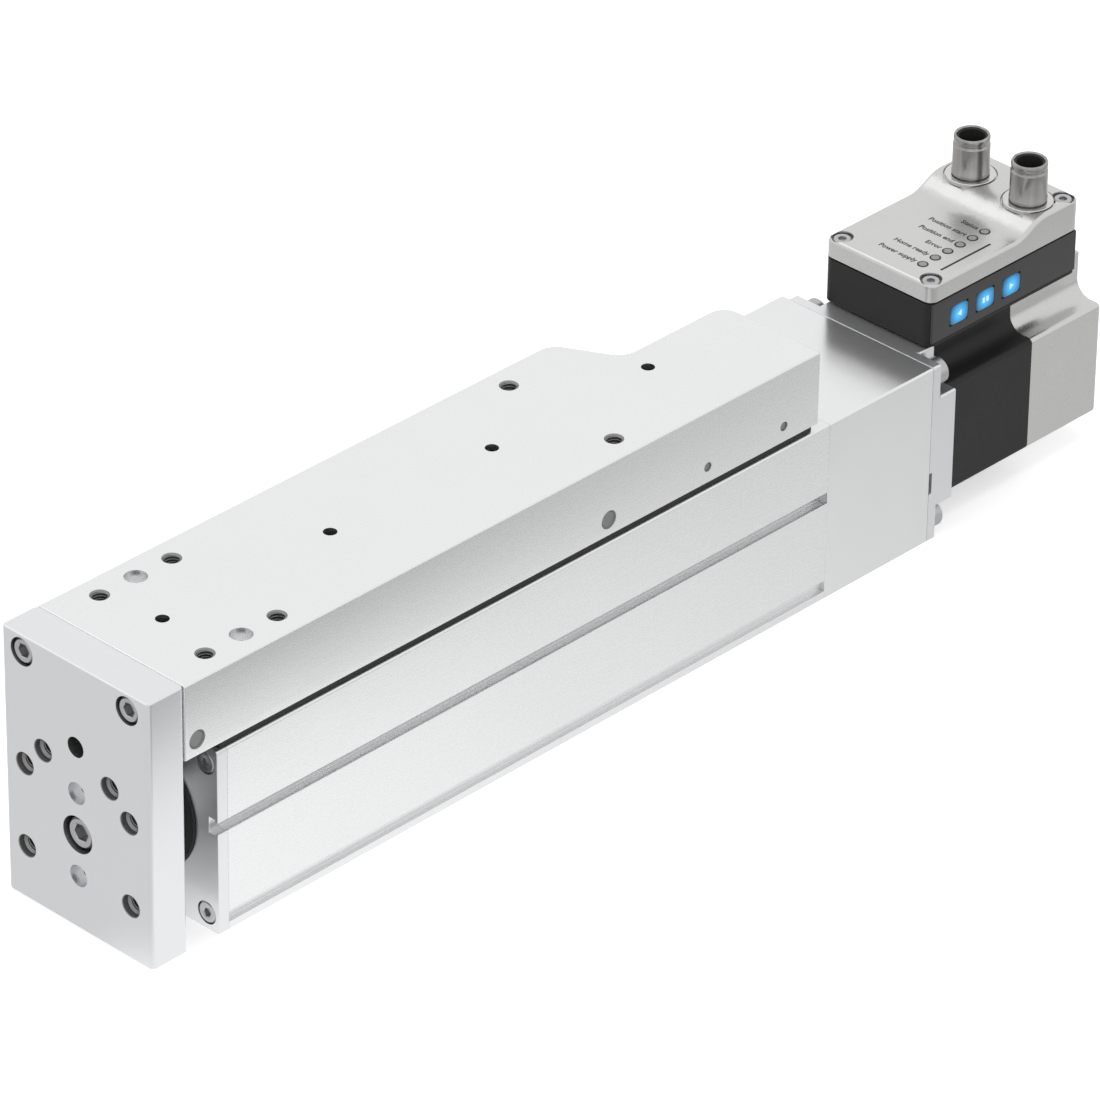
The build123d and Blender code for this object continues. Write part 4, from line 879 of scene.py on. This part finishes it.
class SLIDE_OT_table(Operator):
    """Slide table and front plate, with chamfered edges, and black strips under the table as
    painted shade in the gap
    """

    bl_idname = "slide.table"
    bl_label = "Slide and front plate"

    def execute(self, context):
        shape = context.scene.slide_shape
        on_table, on_plate = payload_holes(THREAD_CORE)
        recesses, plate_recesses = payload_holes(CENTRING)
        small = payload_holes(SMALL_CORE)[0]
        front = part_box("front_plate")[0].y
        window = [
            (m["pos_m"][0], front, m["pos_m"][2])
            for m in RECORD["mounts"] if m["name"] == "plate_window"
        ]
        bottom = (THREAD_CORE + THREAD_WIDER, -THREAD_DEPTH - DEEPER)
        mouth = (shape.mouth_radius / MM + PROUD, PROUD)
        countersunk = [bottom, (bottom[0], -shape.mouth_depth / MM), mouth]
        sleeved = [bottom, (bottom[0], -SLEEVE_FLOOR), *SLEEVE_MOUTH]
        pilot = [(PILOT, -PILOT_DEPTH), (PILOT, -0.9 * CENTRING_DEPTH)]
        small_radius = SMALL_CORE + WIDER
        softened("slide", "slide_table", shape.edge_width, [
            (on_table, UP, countersunk),
            (recesses, UP, pilot),
            (small, UP, [(small_radius, -SMALL_DEPTH - DEEPER), (small_radius, PROUD)]),
        ])
        plate_screws, rod_screw = SCREWS[:2]
        softened("front_plate", "load_plate", shape.plate_edge_width, [
            (on_plate, FRONT, sleeved),
            (plate_recesses, FRONT, pilot),
            (window, FRONT, [(WINDOW_RADIUS, -WINDOW_DEPTH), (WINDOW_RADIUS, PROUD)]),
            self.seats(plate_screws, front, PLATE_SEAT),
            self.seats(rod_screw, front, ROD_SEAT),
        ])
        self.gap_shade_strips()
        return {"FINISHED"}

    def seats(self, screw, face, radius):
        """Counterbores of one radius round the heads of screws, from the plate's face."""
        places = []
        for low, high in solid_boxes(screw.node):
            places.append(((low.x + high.x) / 2, face, (low.z + high.z) / 2))
        depth = (low.y - face) / MM + screw.height + DEEPER
        return places, FRONT, [(radius + WIDER, -depth), (radius + WIDER, PROUD)]

    def gap_shade_strips(self):
        """Two black strips between the table and the housing, on the table's body, as painted
        shade in the gap.
        """
        work = bmesh.new()
        low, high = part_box("slide")
        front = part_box("front_cap")[0].y + GAP_STRIP_END * MM
        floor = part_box("housing_profile")[1].z + GAP_STRIP_CLEARANCE * MM
        corners = [v.co for v in NODES["slide"].data.vertices]
        for side in (-1, 1):
            outer = side * (high.x - GAP_STRIP_INSET * MM)
            inner = side * (high.x - (GAP_STRIP_INSET + GAP_STRIP_THICKNESS) * MM)
            rear = max(co.y for co in corners if side * co.x > high.x - MM) - GAP_STRIP_END * MM
            skin(work, [
                [(outer, y, floor), (inner, y, floor), (inner, y, low.z), (outer, y, low.z)]
                for y in (front, rear)
            ])
        new_piece("table_wipers", finished_mesh(work, "table_wipers"), "slide", "black_rubber")


class SLIDE_OT_housing(Operator):
    """Housing profile, front cap, coupling housing and flange with chamfered edges"""

    bl_idname = "slide.housing"
    bl_label = "Housing"

    def execute(self, context):
        width = context.scene.slide_shape.edge_width
        softened("housing_profile", "profile_body", width * 0.6)
        softened("front_cap", "cap_plate", width * 0.6)
        softened("coupling_housing", "coupling_block", width, finish="lapped")
        softened("motor_flange", "flange_plate", width * 0.4, limit=50.0)
        return {"FINISHED"}


class SLIDE_OT_motor(Operator):
    """Motor body and its cast end cap"""

    bl_idname = "slide.motor"
    bl_label = "Motor"

    def execute(self, context):
        width = context.scene.slide_shape.edge_width
        softened("motor_body", "motor_shell", width)
        softened("end_cap", "encoder_cover", width * 0.7)
        return {"FINISHED"}


class SLIDE_OT_electronics(Operator):
    """Electronics base, cast cover and smoked window"""

    bl_idname = "slide.electronics"
    bl_label = "Electronics box"

    def execute(self, context):
        width = context.scene.slide_shape.edge_width
        softened("electronics_base", "box_base", width * 0.4)
        softened("electronics_cover", "box_cover", width * 0.5, limit=50.0)
        softened("side_window", "key_window", width * 0.5)
        return {"FINISHED"}


class SLIDE_OT_keys(Operator):
    """The three lit keys and the marks on them"""

    bl_idname = "slide.keys"
    bl_label = "Keys"

    def execute(self, context):
        width = context.scene.slide_shape.edge_width
        for number, outlines in enumerate((BACK_ARROW, PAUSE_BARS, FORWARD_ARROW), 1):
            key = f"key_{number}"
            softened(key, f"lit_key_{number}", width, least=20.0)
            self.mark(f"key_mark_{number}", key, outlines)
        return {"FINISHED"}

    def mark(self, name, key, outlines):
        """Flat print on the outer face of a key."""
        low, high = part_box(key)
        along, up = (low.y + high.y) / 2, (low.z + high.z) / 2
        work = bmesh.new()
        for outline in outlines:
            skin(work, [
                [(high.x + lift * MM, along + y * MM, up + z * MM) for y, z in outline]
                for lift in PRINT_LIFTS
            ])
        new_piece(name, finished_mesh(work, name), key, "key_plastic", finish="key_mark")


class SLIDE_OT_fittings(Operator):
    """Smooth copies of the small turned and ground pieces, and the plugs of the table"""

    bl_idname = "slide.fittings"
    bl_label = "Fittings"

    def execute(self, context):
        width = context.scene.slide_shape.edge_width
        for node, share in SMOOTHED:
            softened(node, node + "_smooth", width * share, least=10.0)
        work = bmesh.new()
        for low, high in solid_boxes("slide_plugs"):
            y, z, radius = (low.y + high.y) / 2, (low.z + high.z) / 2, (high.y - low.y) / 2
            step = high.x - 0.25 * MM
            skin(work, [
                [(x, y + radius * s * p.x, z + radius * s * p.y) for p in circle(1.0, 0.0, 40)]
                for x, s in ((low.x, 1.0), (step, 1.0), (step, 0.86), (high.x, 0.80))
            ])
        plugs = finished_mesh(work, "table_plugs", 30.0)
        slot = SLOT_OF["slide_plugs"]
        # The plugs take the dark bore finish, painted shade in their holes
        new_piece("table_plugs", plugs, "slide", slot, "slide_plugs", finish="bore")
        return {"FINISHED"}


class SLIDE_OT_print(Operator):
    """Dark rings round the status lights, a plain word beside each, and a line"""

    bl_idname = "slide.print"
    bl_label = "Print"

    def execute(self, context):
        lights = sorted(solid_boxes("status_lights"), key=lambda box: box[0].y)
        points = [((low.x + high.x) / 2, (low.y + high.y) / 2, high.z) for low, high in lights]
        radius = (lights[0][1].x - lights[0][0].x) / 2
        inner, outer = radius / MM + 0.05, radius / MM + 0.5
        ring = [(inner, -0.3), (outer, -0.3), (outer, -0.04), (inner, -0.04)]
        mesh = lathe("light_ring_form", ring, 40)
        copies("light_rings", mesh, points, "housing", "black_plastic")
        for number, (text, point) in enumerate(zip(WORDS, points), 1):
            self.word(f"light_word_{number}", text, point, radius)
        self.line("light_line", points[0], points[-1])
        return {"FINISHED"}

    def word(self, name, text, light, radius):
        """One word as a thin mesh that ends beside its light."""
        curve = bpy.data.curves.new(name, "FONT")
        curve.body = text
        curve.size = WORD_SIZE * MM
        curve.align_x = "RIGHT"
        curve.align_y = "CENTER"
        curve.extrude = 0.02 * MM
        curve.offset = 0.06 * MM
        curve.resolution_u = 3
        holder = link_object(name, curve)
        mesh = evaluated_mesh(holder, name)
        bpy.data.objects.remove(holder)
        work = bmesh.new()
        work.from_mesh(mesh)
        bmesh.ops.remove_doubles(work, verts=work.verts, dist=1e-7)
        work.to_mesh(mesh)
        work.free()
        x, y, z = light
        place = (x - radius - WORD_GAP * MM, y, z - PRINT_SINK * MM)
        mesh.transform(Matrix.Translation(place))
        new_piece(name, mesh, "housing", "black_plastic")

    def line(self, name, first, last):
        """A plain printed line beside the row of lights."""
        x, z = first[0] + LINE_AWAY * MM, first[2] - PRINT_SINK * MM
        half = LINE_HALF * MM
        step = (last[1] - first[1]) / (len(WORDS) - 1)
        front, rear = (first[1] + share * step for share in LINE_ENDS)
        work = bmesh.new()
        skin(work, [
            [(x + side, y, z + lift * MM) for side, y in
             ((-half, front), (half, front), (half, rear), (-half, rear))]
            for lift in PRINT_LIFTS
        ])
        new_piece(name, finished_mesh(work, name), "housing", "black_plastic")


class SLIDE_OT_screws(Operator):
    """Socket screws on the plate, the caps, the flange and the cover"""

    bl_idname = "slide.screws"
    bl_label = "Screws"

    def execute(self, context):
        knurls = context.scene.slide_shape.head_knurls
        turns = {"front": FRONT, "rear": REAR, "top": UP}
        for screw in SCREWS:
            size = [value * MM for value in screw[3:]]
            head = socket_head(screw.piece + "_head", *size, knurls)
            copies(
                screw.piece, head, self.undersides(screw), BODY_OF[screw.node], "screw_steel",
                screw.node, Turn=turns[screw.face], Seed=len(screw.piece),
            )
        return {"FINISHED"}

    def undersides(self, screw):
        """Middles of the undersides of the heads."""
        height, points = screw.height * MM, []
        for low, high in solid_boxes(screw.node):
            x, y, z = (low + high) / 2
            points.append({
                "front": (x, low.y + height, z),
                "rear": (x, high.y - height, z),
                "top": (x, y, high.z - height),
            }[screw.face])
        return points


class SLIDE_OT_threads(Operator):
    """Wound threads in the payload holes, dark as painted shade in the holes"""

    bl_idname = "slide.threads"
    bl_label = "Payload threads"

    def execute(self, context):
        shape = context.scene.slide_shape
        top, front = payload_holes(THREAD_CORE)
        wound = shape.thread_turns * shape.thread_pitch
        values = {
            "Radius": WINDING_RADIUS * MM, "Ridge": RIDGE_RADIUS * MM,
            "Turns": float(shape.thread_turns), "Pitch": shape.thread_pitch,
        }
        depth = wound + shape.mouth_depth
        sunk = wound + SLEEVE_FLOOR * MM
        grown_piece(
            "table_threads", thread_tree, [(x, y, z - depth) for x, y, z in top], "slide",
            "anodised_aluminium", values, finish="bore",
        )
        grown_piece(
            "plate_threads", thread_tree, [(x, y + sunk, z) for x, y, z in front], "slide",
            "plate_aluminium", {**values, "Turn": FRONT}, finish="bore",
        )
        return {"FINISHED"}


class SLIDE_OT_connectors(Operator):
    """Round plug connectors: grooved shells, lock rings, dark liners and inserts"""

    bl_idname = "slide.connectors"
    bl_label = "Connectors"

    def execute(self, context):
        points = [
            ((low.x + high.x) / 2, (low.y + high.y) / 2, high.z)
            for low, high in solid_boxes("connector_shells")
        ]
        for name, profile, slot, replaced, finish in (
            ("plug_shells", PLUG_SHELL, "nickel_brass", ["connector_shells"], None),
            ("plug_liners", PLUG_LINER, "black_plastic", [], "black_rubber"),
            ("plug_rings", PLUG_RING, "nickel_brass", ["connector_lock_rings"], "lock_ring"),
        ):
            mesh = lathe(name + "_form", profile)
            copies(name, mesh, points, "housing", slot, *replaced, finish=finish)
        softened("connector_inserts", "plug_inserts", 0.15 * MM)
        return {"FINISHED"}


class SLIDE_OT_stage(Operator):
    """Pale floor, soft studio light and the camera"""

    bl_idname = "slide.stage"
    bl_label = "Stage"

    def execute(self, context):
        self.camera(context.scene)
        self.floor(context.scene.slide_stage.floor_colour)
        self.world(context.scene)
        for lamp in LAMPS:
            self.light(lamp)
        context.scene.view_settings.view_transform = "Standard"
        return {"FINISHED"}

    def camera(self, scene):
        """A long lens at the photograph's angle."""
        stage = scene.slide_stage
        a, e, roll = stage.azimuth, stage.elevation, stage.roll
        back = Vector((math.sin(a) * math.cos(e), -math.cos(a) * math.cos(e), math.sin(e)))
        right = (-back).cross(Vector((0, 0, 1))).normalized()
        up = right.cross(-back)
        level = right * math.cos(roll) + up * math.sin(roll)
        rise = up * math.cos(roll) - right * math.sin(roll)
        data = bpy.data.cameras.new("Camera")
        data.lens = stage.lens
        data.sensor_width = 36.0
        data.clip_start, data.clip_end = 0.05, 50
        camera = link_object("Camera", data)
        turn = Matrix((level, rise, back)).transposed().to_4x4()
        place = Vector(LOOK_AT) * MM + back * stage.distance
        camera.matrix_world = Matrix.Translation(place) @ turn
        scene.camera = camera

    def light(self, lamp):
        data = bpy.data.lights.new(lamp.name, "AREA")
        data.shape = "RECTANGLE"
        data.size, data.size_y = lamp.size
        data.energy = lamp.power
        made = link_object(lamp.name, data)
        made.location = lamp.place
        made.rotation_mode = "QUATERNION"
        aim = Vector(lamp.target) - Vector(lamp.place)
        made.rotation_quaternion = aim.to_track_quat("-Z", "Y")
        made.visible_glossy = lamp.mirrored

    def floor(self, colour):
        """A pale floor that takes shadows, and that metal sees as painted bands of light and
        shade.
        """
        mesh = bpy.data.meshes.new("Floor")
        mesh.from_pydata([(-6, -6, 0), (6, -6, 0), (6, 6, 0), (-6, 6, 0)], [], [(0, 1, 2, 3)])
        floor = link_object("Floor", mesh)
        finish = Finish(
            "Floor", colour, 0.0, 0.9, Specular_IOR_Level=0.0, Emission_Color=(1, 1, 1, 1)
        )
        path = finish.node("ShaderNodeLightPath")
        seen = finish.math("MAXIMUM", path["Is Camera Ray"], path["Is Transmission Ray"])
        finish.give(Emission_Strength=finish.math("MULTIPLY", seen, FLOOR_LIFT))
        # In reflections the floor is only this painted glow, not the lit floor
        mixed = finish.node("ShaderNodeMixShader", {
            0: path["Is Glossy Ray"],
            1: finish.shader.outputs["BSDF"],
            2: finish.node("ShaderNodeEmission", {"Strength": self.painted_reflection_bands(finish)})["Emission"],
        })["Shader"]
        finish.fill(finish.tree.nodes["Material Output"].inputs["Surface"], mixed)
        mesh.materials.append(finish.material)

    def painted_reflection_bands(self, finish):
        """Painted reflection: strength of the floor's glow in reflections, by place: in metres,
        from the origin.
        """
        place = finish.split(finish.place)
        x, y = place["X"], place["Y"]
        # Painted light and shade: a bright pool right of the object, dimming to the rear, then a
        # dark band, then the plain glow
        near = finish.ramp(y, -0.12, 0.30, 1.16, 0.75)
        far = finish.ramp(y, -0.05, 0.25, 0.22, 0.56)
        far = finish.blend(finish.ramp(x, 0.18, 0.26), far, FLOOR_GLOW)
        right = finish.blend(finish.ramp(x, 0.112, 0.132), near, far)
        corner = finish.math("MULTIPLY", finish.ramp(x, 0.0, 0.03), finish.ramp(y, -0.16, -0.13))
        beside = finish.math("MULTIPLY", corner, finish.ramp(x, 0.4, 0.9, 1.0, 0.0))
        return finish.blend(beside, FLOOR_GLOW, right)

    def world(self, scene):
        """White to the camera and in reflections, and a softer white as light."""
        scene.world = world = bpy.data.worlds.new("World")
        world.use_nodes = True
        graph = Graph(world.node_tree)
        background = graph.tree.nodes["Background"]
        background.inputs["Color"].default_value = (1, 1, 1, 1)
        path = graph.node("ShaderNodeLightPath")
        seen = graph.math("MAXIMUM", path["Is Camera Ray"], path["Is Glossy Ray"])
        seen = graph.math("MAXIMUM", seen, path["Is Transmission Ray"])
        strength = graph.ranged(seen, WORLD_LIGHT, 1.0, 0.0, 1.0)
        graph.fill(background.inputs["Strength"], strength)


class SLIDE_PT_panel(Panel):
    """Lists the steps and the settings"""

    bl_label = "Electric mini slide"
    bl_idname = "SLIDE_PT_panel"
    bl_space_type = "VIEW_3D"
    bl_region_type = "UI"
    bl_category = "Mini Slide"

    def draw(self, context):
        scene = context.scene
        for settings in (scene.slide_shape, scene.slide_finish, scene.slide_stage):
            box = self.layout.box()
            for name in settings.__annotations__:
                box.prop(settings, name)
        for operator in OPERATORS:
            self.layout.operator(operator.bl_idname)


SETTINGS = (ShapeSettings, FinishSettings, StageSettings)
OPERATORS = (
    SLIDE_OT_frame,
    SLIDE_OT_table,
    SLIDE_OT_housing,
    SLIDE_OT_motor,
    SLIDE_OT_electronics,
    SLIDE_OT_keys,
    SLIDE_OT_fittings,
    SLIDE_OT_print,
    SLIDE_OT_screws,
    SLIDE_OT_threads,
    SLIDE_OT_connectors,
    SLIDE_OT_stage,
)


def register():
    for kind in (*SETTINGS, *OPERATORS, SLIDE_PT_panel):
        bpy.utils.register_class(kind)
    bpy.types.Scene.slide_shape = PointerProperty(type=ShapeSettings)
    bpy.types.Scene.slide_finish = PointerProperty(type=FinishSettings)
    bpy.types.Scene.slide_stage = PointerProperty(type=StageSettings)


def unregister():
    del bpy.types.Scene.slide_stage
    del bpy.types.Scene.slide_finish
    del bpy.types.Scene.slide_shape
    for kind in reversed((*SETTINGS, *OPERATORS, SLIDE_PT_panel)):
        bpy.utils.unregister_class(kind)


def main():
    register()
    for operator in OPERATORS:
        group, name = operator.bl_idname.split(".")
        getattr(getattr(bpy.ops, group), name)()
    bpy.context.view_layer.update()


if __name__ == "__main__":
    main()
